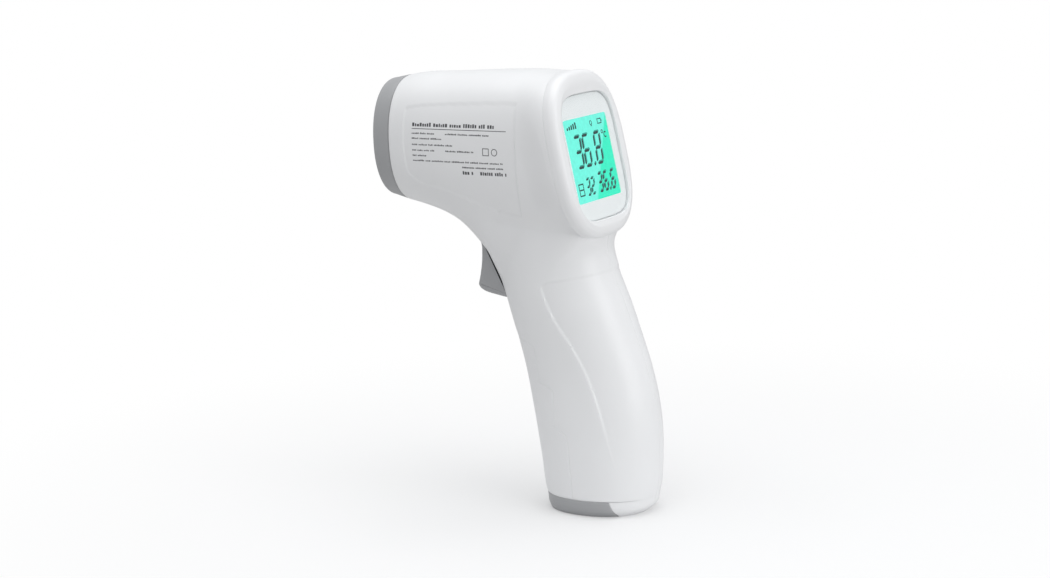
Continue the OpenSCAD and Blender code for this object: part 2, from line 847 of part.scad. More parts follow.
// One AAA cell standing at its foot, with its button up or down
module cell(up) {
    flip = up ? 0 : 1;
    translate([0, 0, flip * (cell_length + 1)])
        rotate([flip * 180, 0, 0]) {
            cylinder(r = cell_r, h = cell_length);
            translate([0, 0, cell_length - SLIVER]) cylinder(r = 1.9, h = 1 + SLIVER);
        }
}

module battery_left() {
    color([0.16, 0.42, 0.62]) in_grip()
        translate([CELL_FORWARD, -CELL_SPACING, CELL_FOOT + 2]) cell(false);
}

module battery_right() {
    color([0.16, 0.42, 0.62]) in_grip()
        translate([CELL_FORWARD, CELL_SPACING, CELL_FOOT - 1.2]) cell(true);
}

module battery_springs() {
    color([0.78, 0.78, 0.76]) in_grip() {
        translate([CELL_FORWARD, CELL_SPACING, CELL_FOOT - 1.85]) coil(3.6, 0.3, 0.62, 0.98, 3.4);
        translate([CELL_FORWARD, -CELL_SPACING, CELL_FOOT + cell_length + 4.2])
            rotate([180, 0, 0]) coil(3.6, 0.3, 0.62, 0.98, 3.4);
    }
}

module battery_contacts() {
    color([0.80, 0.80, 0.78]) in_grip() for (y = [-1, 1]) {
        translate([CELL_FORWARD - 4, y * CELL_SPACING - 3.5, CELL_FOOT + cell_length + 4.25])
            cube([7.4, 7, 0.1]);
    }
}

module bridge_contact() {
    color([0.80, 0.80, 0.78]) in_grip()
        translate([CELL_FORWARD - 4, -9, CELL_FOOT - 1.99]) cube([7.4, 18, 0.12]);
}

// ---------------------------------------------------------------- wires

// Smooth wire through a few points
module wire(p, r) {
    last = len(p) - 1;
    path = [
        for (i = [0:last - 1])
        for (k = [0:3])
        [for (c = [0:2]) through(p[max(i - 1, 0)][c], p[i][c], p[i + 1][c], p[min(i + 2, last)][c], k / 4)],
        p[last]
    ];
    bar_through(path, r, 6, [0, 1, 0.02]);
}

module battery_wires() {
    color([0.72, 0.12, 0.10]) for (y = [-3.2, 3.2]) {
        wire([[-15, y, 63.5], [-12, y, 68], [-15.5, y, 74], [-16, y, 84], [-13, y, 94], [-12, y, 102]], 0.6);
    }
}

module sensor_cable() {
    color([0.15, 0.15, 0.16]) for (y = [-1.4, 0, 1.4]) {
        wire([[-49.7, y, 128], [-44, y, 126.5], [-34, y, 123], [-25, y, 124], [-19.6, y, 128]], 0.5);
    }
}

module shell_screws() {
    color([0.72, 0.73, 0.74]) at_screws()
        translate([0, 0, SCREW_HEAD_Y + 0.02]) small_screw(1.2, 12.5, 2.1, 1.6);
}

// ---------------------------------------------------------------- the parts

left_shell();
right_shell();
nose_ring();
rear_bezel();
window_mask();
display_window();
window_gasket();
battery_door();
door_foot();
sensor_cone();
reflector_cup();
thermopile_can();
thermopile_window();
sensor_block();
sensor_board();
sensor_screws();
lcd_glass();
backlight_plate();
lcd_frame();
zebra_strip();
main_board();
board_chips();
buzzer();
board_screws();
key_board();
keypad_membrane();
key_mode();
key_up();
key_down();
trigger();
trigger_pin();
trigger_spring();
trigger_switch();
switch_plunger();
battery_tray();
battery_left();
battery_right();
battery_springs();
battery_contacts();
bridge_contact();
battery_wires();
sensor_cable();
shell_screws();
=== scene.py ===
"""Looks of the handheld infrared thermometer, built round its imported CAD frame.

Lengths are in millimetres until a mesh is made, and metres after that.
+Z is up, the nose points along -X, the display faces +X, and the rating panel is on the -Y side.
"""

import json
import math

import bmesh
import bpy
import numpy as np
from mathutils import Matrix, Vector
from mathutils.bvhtree import BVHTree


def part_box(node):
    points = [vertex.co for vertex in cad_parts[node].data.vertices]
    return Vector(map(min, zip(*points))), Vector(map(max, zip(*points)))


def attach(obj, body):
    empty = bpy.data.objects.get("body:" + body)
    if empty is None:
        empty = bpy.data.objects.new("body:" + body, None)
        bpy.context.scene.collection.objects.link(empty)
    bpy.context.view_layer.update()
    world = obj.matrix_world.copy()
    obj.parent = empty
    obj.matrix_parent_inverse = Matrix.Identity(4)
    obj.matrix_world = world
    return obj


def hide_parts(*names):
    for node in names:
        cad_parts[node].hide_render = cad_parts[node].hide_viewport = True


MM = 0.001

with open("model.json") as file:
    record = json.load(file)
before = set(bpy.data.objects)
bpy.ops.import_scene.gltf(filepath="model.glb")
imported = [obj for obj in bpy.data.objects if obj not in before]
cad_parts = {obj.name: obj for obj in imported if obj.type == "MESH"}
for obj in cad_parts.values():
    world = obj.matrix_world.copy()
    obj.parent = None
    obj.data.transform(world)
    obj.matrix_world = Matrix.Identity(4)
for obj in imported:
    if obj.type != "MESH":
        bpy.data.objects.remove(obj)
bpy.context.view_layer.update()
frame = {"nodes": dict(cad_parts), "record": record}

# ---------- the body's own measures

# Sections of the body from the nose to the foot: x and z of the front or lower edge,
# x and z of the top or rear edge, half width, and how square the section is.
STATIONS = np.array([
    [-71.5, 108.9, -71.5, 154.6, 16.0, 2.30],
    [-65.9, 107.7, -66.9, 155.4, 16.6, 2.30],
    [-49.7, 101.8, -48.9, 156.1, 17.8, 2.40],
    [-38.6, 91.0, -27.5, 156.8, 17.6, 2.50],
    [-36.4, 85.6, -8.0, 156.7, 17.0, 2.50],
    [-34.6, 81.0, 8.0, 154.5, 16.8, 2.50],
    [-33.2, 77.8, 11.0, 127.0, 16.8, 2.50],
    [-31.6, 73.4, 9.0, 103.0, 16.8, 2.45],
    [-30.8, 70.8, 6.4, 96.8, 16.8, 2.40],
    [-29.7, 66.3, 7.7, 88.4, 16.8, 2.30],
    [-29.1, 63.8, 13.0, 74.5, 16.5, 2.30],
    [-28.7, 62.0, 17.4, 62.0, 16.3, 2.25],
    [-26.3, 51.7, 20.8, 51.7, 16.2, 2.20],
    [-23.8, 38.0, 23.6, 38.0, 16.5, 2.20],
    [-20.9, 19.0, 24.1, 19.0, 16.6, 2.20],
    [-19.1, 6.3, 22.4, 6.3, 16.4, 2.20],
    [-19.0, 6.0, 22.3, 6.0, 16.4, 2.20],
    [-18.6, 2.4, 21.2, 2.4, 15.9, 2.20],
    [-18.0, 0.0, 18.3, 0.0, 14.1, 2.20],
])
LAST = len(STATIONS) - 1
STATION_STEPS = np.linalg.norm(np.diff(STATIONS[:, :4], axis=0), axis=1)
STATION_PLACES = np.concatenate([[0], np.cumsum(STATION_STEPS)])
STATION_SLOPES = np.gradient(STATIONS, STATION_PLACES, axis=0)
DOOR_TOP = 11
FOOT_TOP = 16

# The head is a tube. Each table gives a value against the distance along it.
NOSE_X = -71.5
HEAD_LENGTH = 74.2
HEAD_TOP = np.array([[-71.5, 154.6], [-66.9, 155.4], [-48.9, 156.1], [-27.5, 156.8], [3, 156.9]])
HEAD_BOTTOM = np.array([[-71.5, 108.9], [-65.9, 107.7], [-49.7, 103.6], [-27, 100.6], [3, 98.8]])
HEAD_HALF_WIDTH = np.array([
    [-71.5, 16.9], [-60, 17.9], [-45, 19.4], [-27, 21.2], [-8, 22.6], [3, 23.3],
])
HEAD_SQUARE = np.array([[-71.5, 2.25], [-50, 2.35], [-25, 2.6], [3, 2.6]])

# Stepped seam of the battery door on the handle's sides: height, then x
DOOR_SEAM = np.array([
    [0, 13.0], [1, 12.9], [6.02, 11.2], [6.28, -2.6], [26.5, -3.7], [29.0, -4.3], [30.4, -6.2],
    [31.4, -9.4], [43.6, -9.2], [45.2, -9.9], [46.4, -12.6], [47.0, -16.0],
    [58.6, -16.4], [60.4, -17.4], [61.4, -20.5], [62.0, -24.5],
])

# Display face: a plane through this point, leaning back from upright. The shell stops
# SHELL_EDGE_DEPTH behind it, or up to UNDER_BEZEL further forward under the bezel's chin.
LEAN = math.radians(11.1)
FACE_X, FACE_Z = 2.7, 127.8
SHELL_EDGE_DEPTH = 4.5
UNDER_BEZEL = 3.1
BEZEL_HALF_HEIGHT = 29.7
BEZEL_HALF_WIDTH = 24.7
BEZEL_SQUARE = 2.75
BEZEL_RISE = 0.15
WINDOW_HALF_HEIGHT = 22.0
WINDOW_HALF_WIDTH = 19.1
WINDOW_SQUARE = 4.6
WINDOW_DROP = 0.9
PICTURE_DROP = 1.5
PICTURE_HALF_WIDTH = 15.8
PICTURE_HALF_HEIGHT = 14.7
PICTURE_SHIFT = -1.1
PICTURE_SQUARE = 40
CELL_HALF_WIDTH = 16.8
CELL_HALF_HEIGHT = 16.1
CELL_SQUARE = 14

TRIGGER_HALF_WIDTH = 6.2
TRIGGER_SLOT = (97.4, 74.1)
KEY_SPOTS = {"key_mode": (-46.0, 131.0), "key_up": (-35.5, 131.0), "key_down": (-25.0, 131.0)}
KEY_HOLE_R = 3.85
SCREW_SPOTS = [(-60, 147), (-58, 113.5), (-23, 147.5), (-9, 86), (11.5, 50), (15, 15)]
SCREW_HOLE_R = 2.35
SENSOR_AXIS_Z = 131.7
DOOR_AXIS = (-28.9, 62.1)
WALL = 1.8

# Fine grooves: depth and width
PARTING_GROOVE = (0.10, 0.16)
NOSE_GROOVE = (0.18, 0.3)
DOOR_GROOVE = (0.13, 0.17)
FOOT_GROOVE = (0.16, 0.2)


# ---------- curves

def signed_power(v, e):
    return np.sign(v) * np.abs(v) ** e


def through(a, b, c, d, t):
    """A smooth curve through four neighbouring values, at fraction t between the middle two."""
    return 0.5 * (2 * b + (c - a) * t + (2 * a - 5 * b + 4 * c - d) * t ** 2
                  + (3 * b - 3 * c + d - a) * t ** 3)


def eased(t, run, value, slope, next_value, next_slope):
    """A curve between two values that also has their slopes, at fraction t of the run."""
    return ((1 + 2 * t) * (1 - t) ** 2 * value + t * (1 - t) ** 2 * run * slope
            + t ** 2 * (3 - 2 * t) * next_value + t ** 2 * (t - 1) * run * next_slope)


def section(u):
    """The body section at each position in u, a whole number being a row of STATIONS."""
    i = np.clip(np.floor(u).astype(int), 0, LAST - 1)
    t = (u - i)[..., None]
    run = (STATION_PLACES[i + 1] - STATION_PLACES[i])[..., None]
    return eased(t, run, STATIONS[i], STATION_SLOPES[i], STATIONS[i + 1], STATION_SLOPES[i + 1])


def smooth_table(x, table):
    """Value of a table at x, joined by smooth curves and held flat beyond its ends."""
    knots, values = table[:, 0], table[:, 1]
    slopes = np.gradient(values, knots)
    x = np.clip(x, knots[0], knots[-1])
    i = np.clip(np.searchsorted(knots, x) - 1, 0, len(knots) - 2)
    run = knots[i + 1] - knots[i]
    t = (x - knots[i]) / run
    return eased(t, run, values[i], slopes[i], values[i + 1], slopes[i + 1])


def smooth_step(v, start, end):
    t = np.clip((v - start) / (end - start), 0, 1)
    return t * t * (3 - 2 * t)


def smooth_line(points, steps):
    """An open line through points, rounded, with steps pieces between neighbours."""
    p = np.array(points, float)
    last = len(p) - 1
    out = []
    for i in range(last):
        for k in range(steps):
            t = k / steps
            out.append(through(p[max(i - 1, 0)], p[i], p[i + 1], p[min(i + 2, last)], t))
    out.append(p[last])
    return np.array(out)


def smooth_loop(points, steps):
    """A closed line through points, rounded."""
    p = np.array(points, float)
    n = len(p)
    return np.array([
        through(p[i - 1], p[i], p[(i + 1) % n], p[(i + 2) % n], k / steps)
        for i in range(n) for k in range(steps)
    ])


def quarter_round(count, radius):
    """Pairs of offsets round a quarter circle, from (radius, 0) to (0, radius)."""
    angles = [math.radians(90 * k / (count - 1)) for k in range(count)]
    return [(radius * (1 - math.sin(a)), radius * (1 - math.cos(a))) for a in angles]


def full_turn(count):
    return np.linspace(0, 2 * math.pi, count, endpoint=False)


# ---------- the skin of the body

def head_half_width(x, z):
    share = np.clip((x - NOSE_X) / HEAD_LENGTH, 0, 1)
    along = x + math.tan(LEAN) * share * (z - FACE_Z)
    top = smooth_table(along, HEAD_TOP)
    bottom = smooth_table(along, HEAD_BOTTOM)
    off = np.clip(np.abs(z - (top + bottom) / 2) / ((top - bottom) / 2), 0, 1)
    square = smooth_table(along, HEAD_SQUARE)
    return smooth_table(along, HEAD_HALF_WIDTH) * (1 - off ** square) ** (1 / square)


def blended(a, b):
    """The larger of two widths, with the corner between them rounded off."""
    big = np.maximum(a, b)
    reach = 0.3 * big + 1e-9
    apart = np.abs(a - b)
    return np.where(apart < reach, big + (reach - apart) ** 2 / (4 * reach), big)


def face_place(x, z):
    """Distance in front of the display plane, and height up it."""
    depth = math.cos(LEAN) * (x - FACE_X) + math.sin(LEAN) * (z - FACE_Z)
    height = math.cos(LEAN) * (z - FACE_Z) - math.sin(LEAN) * (x - FACE_X)
    return depth, height


def from_face(down, across, depth):
    """Points given on the display face, in the row frame."""
    down, across, depth = np.broadcast_arrays(down, across, depth)
    x = FACE_X + depth * math.cos(LEAN) + down * math.sin(LEAN)
    z = FACE_Z + depth * math.sin(LEAN) - down * math.cos(LEAN)
    return np.stack([x, across, z], -1)


def bezel_reach(lifted, across):
    """Distance from the bezel's middle as a share of the way to its outline."""
    return (np.abs(lifted / BEZEL_HALF_HEIGHT) ** BEZEL_SQUARE
            + np.abs(across / BEZEL_HALF_WIDTH) ** BEZEL_SQUARE) ** (1 / BEZEL_SQUARE)


def meet_bezel(x, y, z):
    """Flares the skin near the display so that it runs straight into the bezel."""
    depth, height = face_place(x, z)
    near = smooth_step(depth, -17, -SHELL_EDGE_DEPTH) * smooth_step(height, -23, -12)
    level = (z - FACE_Z + SHELL_EDGE_DEPTH * math.sin(LEAN)) / math.cos(LEAN)
    lifted = level - BEZEL_RISE
    grow = np.clip(1 / np.maximum(bezel_reach(lifted, y), 0.5), 0.95, 1.08)
    extra = near * (grow - 1)
    return np.stack([x, y * (1 + extra), z + extra * lifted * math.cos(LEAN)], -1)


def bare_skin(u, angle):
    """Points of the skin: angle 0 is the top or rear edge, pi the front edge."""
    s = section(u)
    half_x, half_z = (s[..., 2] - s[..., 0]) / 2, (s[..., 3] - s[..., 1]) / 2
    reach = signed_power(np.cos(angle), 2 / s[..., 5])
    x = (s[..., 0] + s[..., 2]) / 2 + half_x * reach
    z = (s[..., 1] + s[..., 3]) / 2 + half_z * reach
    own = s[..., 4] * np.clip(np.sin(angle), 0, 1) ** (2 / s[..., 5])
    wide = blended(own, head_half_width(x, z))
    at_edge = smooth_step(np.sin(angle), 0, 0.02)
    return meet_bezel(x, wide * at_edge, z)


def angle_at(share, square):
    """Angle at which a section passes a share of its half length."""
    return np.arccos(signed_power(np.clip(share, -1, 1), square / 2))


def start_angle(u):
    """Angle at which the skin starts, so that it stops behind the display bezel."""
    square = section(u)[..., 5]

    def beyond(share):
        """How far a point at this share of the section lies past the shell's edge."""
        x, y, z = np.moveaxis(bare_skin(u, angle_at(share, square)), -1, 0)
        depth, height = face_place(x, z)
        reach = bezel_reach(height - BEZEL_RISE, y)
        under = smooth_step(reach, 0.925, 0.965) * smooth_step(-height, 15, 21)
        neck = smooth_step(-height, 31, 34)
        return depth + SHELL_EDGE_DEPTH - UNDER_BEZEL * under - LAST * neck

    low = np.full(u.shape, -1.0)
    high = np.ones(u.shape)
    whole = beyond(high) < 0
    for _ in range(40):
        share = (low + high) / 2
        past = beyond(share) > 0
        high = np.where(past, share, high)
        low = np.where(past, low, share)
    return np.where(whole, 0, angle_at(share, square))


def seam_angle(u):
    """Angle of the battery door's seam, held the same above the door."""
    s = section(np.maximum(u, DOOR_TOP))
    x = np.interp(s[..., 1], DOOR_SEAM[:, 0], DOOR_SEAM[:, 1])
    share = (x - (s[..., 0] + s[..., 2]) / 2) / ((s[..., 2] - s[..., 0]) / 2)
    return angle_at(share, s[..., 5])


def cheek_angle(u):
    """Angle at which the skin is as wide as the trigger's slot, near the front edge."""
    s = section(u)
    share = (TRIGGER_HALF_WIDTH + 0.35) / s[..., 4]
    return math.pi - np.arcsin(share ** (s[..., 5] / 2))


# ---------- relief on the skin

PALM_LINE = np.array([
    [-13.0, 85.0], [-10.4, 78.4], [-6.9, 70.7], [-1.3, 62.5], [4.0, 53.0],
    [8.1, 42.3], [11.2, 30.7], [14.2, 18.0],
])
PANEL = [
    [-64.5, 141.5], [-64.5, 124.0], [-61.8, 119.0], [-57.6, 117.1], [-50.8, 116.0],
    [-41.8, 113.4], [-30.0, 109.3], [-19.5, 107.2], [-17.2, 109.5], [-17.0, 128.0],
    [-17.4, 144.0], [-19.5, 146.6], [-40.0, 146.2], [-61.5, 144.8],
]


def outline_distance(x, z, outline):
    """Distance inside (positive) or outside (negative) a closed outline."""
    p = np.array(outline, float)
    best = np.full(x.shape, 1e9)
    inside = np.zeros(x.shape, bool)
    for a, b in zip(p, np.roll(p, -1, axis=0)):
        run = b - a
        t = np.clip(((x - a[0]) * run[0] + (z - a[1]) * run[1]) / (run @ run), 0, 1)
        best = np.minimum(best, np.hypot(x - a[0] - t * run[0], z - a[1] - t * run[1]))
        crosses = (a[1] > z) != (b[1] > z)
        safe = run[1] if abs(run[1]) > 1e-9 else 1e-9
        inside ^= crosses & (x < a[0] + (z - a[1]) * run[0] / safe)
    return np.where(inside, best, -best)


def palm_relief(x, z):
    """A soft ridge in front of the palm pad, which drops to the pad in one fine step."""
    line = PALM_LINE[::-1, ::-1]
    edge = smooth_table(z, line)
    slope = (smooth_table(z + 1, line) - smooth_table(z - 1, line)) / 2
    behind = (x - edge) / np.sqrt(1 + slope ** 2)
    below = 85.3 + 0.17 * x - z
    sharp = 0.9
    both = -np.log(np.exp(-sharp * np.clip(behind, -40, 40))
                   + np.exp(-sharp * np.clip(below, -40, 40))) / sharp
    fade = smooth_step(z, 17, 40)
    ridge = np.exp(-(np.clip(-both, 0, None) / 5.5) ** 2) * smooth_step(-both, -0.22, 0.22)
    above = 0.35 + 0.65 * smooth_step(below, -1, 6)
    return 0.42 * ridge * above * fade


def panel_relief(x, z):
    """The shallow recess that carries the rating print."""
    return -0.2 * smooth_step(outline_distance(x, z, smooth_loop(PANEL, 4)), -0.22, 0.22)


# ---------- the grid that every skin shares

def even_values(first, last, metric, spacing, ends):
    """Values from first to last, evenly spaced by a length metric, with close ones at both ends."""
    fine = np.linspace(first, last, 12001)
    length = metric(fine)
    total = length[-1]
    count = max(int(round((total - 2 * ends[-1]) / spacing)), 2)
    middle = np.linspace(ends[-1], total - ends[-1], count + 1)
    places = np.concatenate([ends[:-1], middle, total - np.array(ends[:-1])[::-1]])
    return np.interp(places, length, fine)


EDGE_STEPS = [0.0, 0.07, 0.16, 0.34]


def path_length(points):
    steps = np.linalg.norm(np.diff(points, axis=0), axis=1)
    return np.concatenate([[0], np.cumsum(steps)])


def row_metric(u):
    """Length along the body, counting its front edge, its back edge and the display's edge."""
    start = start_angle(u)
    low = path_length(bare_skin(u, np.full(u.shape, math.pi)))
    back = path_length(bare_skin(u, start))
    side = path_length(bare_skin(u, np.maximum(start, 1.5)))
    return np.maximum.accumulate(0.4 * low + 0.45 * back + 0.5 * side)


def front_place(height, first, last):
    """Row position at which the front edge passes a height."""
    u = np.linspace(first, last, 4001)
    z = bare_skin(u, np.full(u.shape, math.pi))[:, 2]
    return float(np.interp(-height, -z, u))


def grid_rows():
    """Row positions, and the row number at which each part of the body starts."""
    slot_top = front_place(TRIGGER_SLOT[0], 1, 6)
    slot_bottom = front_place(TRIGGER_SLOT[1], 4, 9)
    breaks = [0, slot_top, slot_bottom, DOOR_TOP, FOOT_TOP, LAST]
    spacing = 0.42
    rows, marks = [], [0]
    for first, last in zip(breaks[:-1], breaks[1:]):
        part = even_values(first, last, row_metric, spacing, EDGE_STEPS)
        rows.extend(part[:-1])
        marks.append(len(rows))
    rows.append(LAST)
    return np.array(rows), marks


COLUMNS = (112, 64, 22)


def grid_angles(rows):
    """Angles of every column in every row: to the door's seam, to the slot, to the front edge."""
    limits = np.stack([start_angle(rows), seam_angle(rows), cheek_angle(rows),
                       np.full(rows.shape, math.pi)], -1)
    fine = np.linspace(0, 1, 241)
    out = []
    for u, limit in zip(rows, limits):
        angles = [limit[0]]
        for first, last, count in zip(limit[:-1], limit[1:], COLUMNS):
            spread = first + (last - first) * fine
            length = path_length(bare_skin(np.full(fine.shape, u), spread))
            ends = np.array(EDGE_STEPS) * min(1, length[-1] / 3)
            middle = np.linspace(ends[-1], length[-1] - ends[-1], count + 3 - 2 * len(ends))
            places = np.concatenate([ends[:-1], middle, length[-1] - ends[:-1][::-1]])
            angles.extend(np.interp(places[1:], length, spread))
        out.append(angles)
    return np.array(out)


def skin_normals(u, angle):
    """Outward direction of the skin."""
    near = np.clip(angle, 0.012, math.pi - 0.012)
    step, turn = 0.01, 0.006
    along = bare_skin(np.clip(u + step, 0, LAST), near) - bare_skin(np.clip(u - step, 0, LAST), near)
    across = bare_skin(u, near + turn) - bare_skin(u, near - turn)
    n = np.cross(along, across)
    n /= np.maximum(np.linalg.norm(n, axis=-1, keepdims=True), 1e-9)
    return n * np.sign(np.sum(n[..., 1]))


def edge_fall(distance, depth, width):
    return -depth * np.exp(-(distance / width) ** 2)


class Skin:
    """The shared grid of one side of the body, in place and with its relief."""

    def __init__(self, side):
        self.side = side
        self.rows, self.marks = grid_rows()
        angles = grid_angles(self.rows)
        u = np.repeat(self.rows[:, None], angles.shape[1], axis=1)
        points = bare_skin(u, angles)
        normals = skin_normals(u, angles)
        x, y, z = points[..., 0], points[..., 1], points[..., 2]
        relief = palm_relief(x, z)
        if side < 0:
            relief = relief + panel_relief(x, z)
        relief = relief + edge_fall(y, *PARTING_GROOVE)
        relief = relief + edge_fall(x - NOSE_X, *NOSE_GROOVE)
        relief = relief + self.seam_relief(points)
        points = points + normals * relief[..., None]
        points[:, -1, 1] = 0.0
        points[..., 1] = np.maximum(points[..., 1], 0.0)
        points[..., 1] *= side
        normals[..., 1] *= side
        self.points, self.normals = points, normals

    def seam_relief(self, points):
        """A fine groove along the door's seam, and along the top and the bottom of the door."""
        first = COLUMNS[0]
        steps = np.linalg.norm(np.diff(points, axis=1), axis=2)
        along = np.concatenate([np.zeros((len(points), 1)), np.cumsum(steps, axis=1)], axis=1)
        from_seam = np.abs(along - along[:, first:first + 1])
        relief = edge_fall(from_seam, *DOOR_GROOVE)
        relief[:self.marks[3]] = 0
        for mark, groove in ((self.marks[3], DOOR_GROOVE), (self.marks[4], FOOT_GROOVE)):
            drop = points[:, first:, 2] - points[mark, first:, 2]
            relief[:, first:] += edge_fall(drop, *groove)
        return relief


# ---------- making meshes

def make_piece(name, points, faces, material, body, slot, replaced=None):
    """A mesh object from points in millimetres, riding a body and wearing a material."""
    mesh = bpy.data.meshes.new(name)
    mesh.from_pydata((np.asarray(points) * MM).tolist(), [], faces)
    tidy = bmesh.new()
    tidy.from_mesh(mesh)
    bmesh.ops.remove_doubles(tidy, verts=tidy.verts, dist=2e-6)
    bmesh.ops.dissolve_degenerate(tidy, dist=1e-7, edges=tidy.edges)
    tidy.to_mesh(mesh)
    tidy.free()
    mesh.shade_smooth()
    mesh.set_sharp_from_angle(angle=math.radians(38))
    mesh.materials.append(material)
    piece = bpy.data.objects.new(name, mesh)
    bpy.context.scene.collection.objects.link(piece)
    if body:
        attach(piece, body)
    if replaced:
        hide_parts(replaced)
    return piece


def make_solid(name, shape, material, body, slot, replaced=None):
    """A closed piece from (points, faces), with every face turned outwards."""
    piece = make_piece(name, *shape, material, body, slot, replaced)
    work = bmesh.new()
    work.from_mesh(piece.data)
    bmesh.ops.recalc_face_normals(work, faces=work.faces)
    work.to_mesh(piece.data)
    work.free()


def loft(loops, closed=True, cap_first=False, cap_last=False, ring=False):
    """Points and faces of a surface through loops that have the same number of points."""
    loops = [np.asarray(l, float) for l in loops]
    n = len(loops[0])
    total = len(loops)
    points = np.concatenate(loops)
    faces = []
    for i in range(total if ring else total - 1):
        k = (i + 1) % total
        for j in range(n if closed else n - 1):
            h = (j + 1) % n
            faces.append((i * n + j, i * n + h, k * n + h, k * n + j))
    if cap_first:
        faces.append(tuple(range(n))[::-1])
    if cap_last:
        faces.append(tuple((total - 1) * n + j for j in range(n)))
    return points, faces


def joined(parts):
    """Several (points, faces) lists as one."""
    points, faces, start = [], [], 0
    for p, f in parts:
        points.append(np.asarray(p, float))
        faces.extend(tuple(start + i for i in face) for face in f)
        start += len(p)
    return np.concatenate(points), faces


def add_rims(points, normals, faces, depth):
    """Adds a wall, going inwards, along every open edge of a skin."""
    count = {}
    for face in faces:
        for a, b in zip(face, face[1:] + face[:1]):
            key = (min(a, b), max(a, b))
            count[key] = None if key in count else (a, b)
    open_edges = [edge for edge in count.values() if edge]
    points = list(points)
    inner = {}
    for edge in open_edges:
        for v in edge:
            if v not in inner:
                inner[v] = len(points)
                points.append(points[v] - normals[v] * depth)
    rim = [(b, a, inner[a], inner[b]) for a, b in open_edges]
    return np.array(points), faces + rim


def skin_patch(skin, wanted):
    """Points, normals and faces of the grid cells for which wanted(row, column) is true."""
    rows, columns = skin.points.shape[:2]
    points = skin.points.reshape(-1, 3)
    normals = skin.normals.reshape(-1, 3)
    faces = []
    for i in range(rows - 1):
        for j in range(columns - 1):
            if wanted(i, j):
                a = i * columns + j
                quad = (a, a + 1, a + columns + 1, a + columns)
                faces.append(quad if skin.side < 0 else quad[::-1])
    return points, normals, faces


def used_only(points, normals, faces):
    """Drops points that no face uses, and joins points that lie at the same place."""
    used = sorted({v for f in faces for v in f})
    key = {}
    index = {}
    kept = []
    for v in used:
        place = tuple(np.round(points[v], 4))
        if place not in key:
            key[place] = len(kept)
            kept.append(v)
        index[v] = key[place]
    out = []
    for f in faces:
        face = tuple(dict.fromkeys(index[v] for v in f))
        if len(face) > 2:
            out.append(face)
    return points[kept].copy(), normals[kept].copy(), out


def cut_holes(points, normals, faces, spots, radius):
    """Opens round holes along Y, and draws the cut edges in to true circles."""
    for x, z in spots:
        away = np.hypot(points[:, 0] - x, points[:, 2] - z)
        dropped = [f for f in faces if min(away[v] for v in f) < radius]
        faces = [f for f in faces if min(away[v] for v in f) >= radius]
        rim = {v for f in dropped for v in f} & {v for f in faces for v in f}
        for v in rim:
            out = np.array([points[v][0] - x, points[v][2] - z])
            moved = out / np.linalg.norm(out) * radius - out
            n = normals[v]
            rise = -(n[0] * moved[0] + n[2] * moved[1]) / n[1]
            points[v] = points[v] + np.array([moved[0], rise, moved[1]])
    return points, normals, faces


# ---------- materials

# Sockets of the Mix node that carry colours
COLOUR_A, COLOUR_B, COLOUR_RESULT = 6, 7, 2


class Shader:
    """A node material, built a node at a time."""

    def __init__(self, name):
        self.material = bpy.data.materials.new(name)
        self.material.use_nodes = True
        self.tree = self.material.node_tree
        self.tree.nodes.clear()
        self.output = self.tree.nodes.new("ShaderNodeOutputMaterial")
        self.place = self.tree.nodes.new("ShaderNodeTexCoord").outputs["Object"]

    def give(self, socket, value):
        """Joins a socket to another one, or sets its value."""
        if isinstance(value, bpy.types.NodeSocket):
            self.tree.links.new(value, socket)
        else:
            socket.default_value = value

    def node(self, kind, settings=None, values=(), **inputs):
        """A node with settings, its first inputs in order, and further inputs by name."""
        made = self.tree.nodes.new(kind)
        for key, value in (settings or {}).items():
            setattr(made, key, value)
        for socket, value in zip(made.inputs, values):
            self.give(socket, value)
        for key, value in inputs.items():
            self.give(made.inputs[key.replace("_", " ")], value)
        return made

    def noise(self, scale, detail=3.0, rough=0.55):
        made = self.node("ShaderNodeTexNoise", Scale=scale, Detail=detail, Roughness=rough,
                         Vector=self.place)
        return made.outputs["Fac"]

    def ranged(self, value, low, high):
        """The usual range of a noise, 0.3 to 0.7, moved to low to high."""
        made = self.node("ShaderNodeMapRange", Value=value, From_Min=0.3, From_Max=0.7,
                         To_Min=low, To_Max=high)
        return made.outputs["Result"]

    def mixed_colour(self, factor, first, second):
        made = self.node("ShaderNodeMix", {"data_type": "RGBA"}, Factor=factor)
        made.inputs[COLOUR_A].default_value = (*first, 1)
        made.inputs[COLOUR_B].default_value = (*second, 1)
        return made.outputs[COLOUR_RESULT]

    def mixed_shader(self, factor, first, second):
        return self.node("ShaderNodeMixShader", None, (factor, first.outputs[0], second.outputs[0]))

    def bump(self, height, strength, distance):
        made = self.node("ShaderNodeBump", Height=height, Strength=strength, Distance=distance)
        return made.outputs["Normal"]

    def finish(self, shader):
        self.tree.links.new(shader.outputs[0], self.output.inputs["Surface"])
        return self.material


def moulded_plastic(name, colour, rough, grain=0.012, tint=0.985, sheen=0.5):
    """Moulded plastic: faint cloudiness in the colour, fine grain, uneven gloss."""
    s = Shader(name)
    darker = tuple(c * tint for c in colour)
    cloud = s.mixed_colour(s.ranged(s.noise(35.0), 0, 1), colour, darker)
    gloss = s.ranged(s.noise(90.0, 4.0), rough * 0.88, rough * 1.12)
    grains = s.bump(s.noise(5200.0, 2.0), grain, 0.0002)
    body = s.node("ShaderNodeBsdfPrincipled", Base_Color=cloud, Roughness=gloss, Normal=grains,
                  IOR=1.49, Specular_IOR_Level=sheen)
    return s.finish(body)


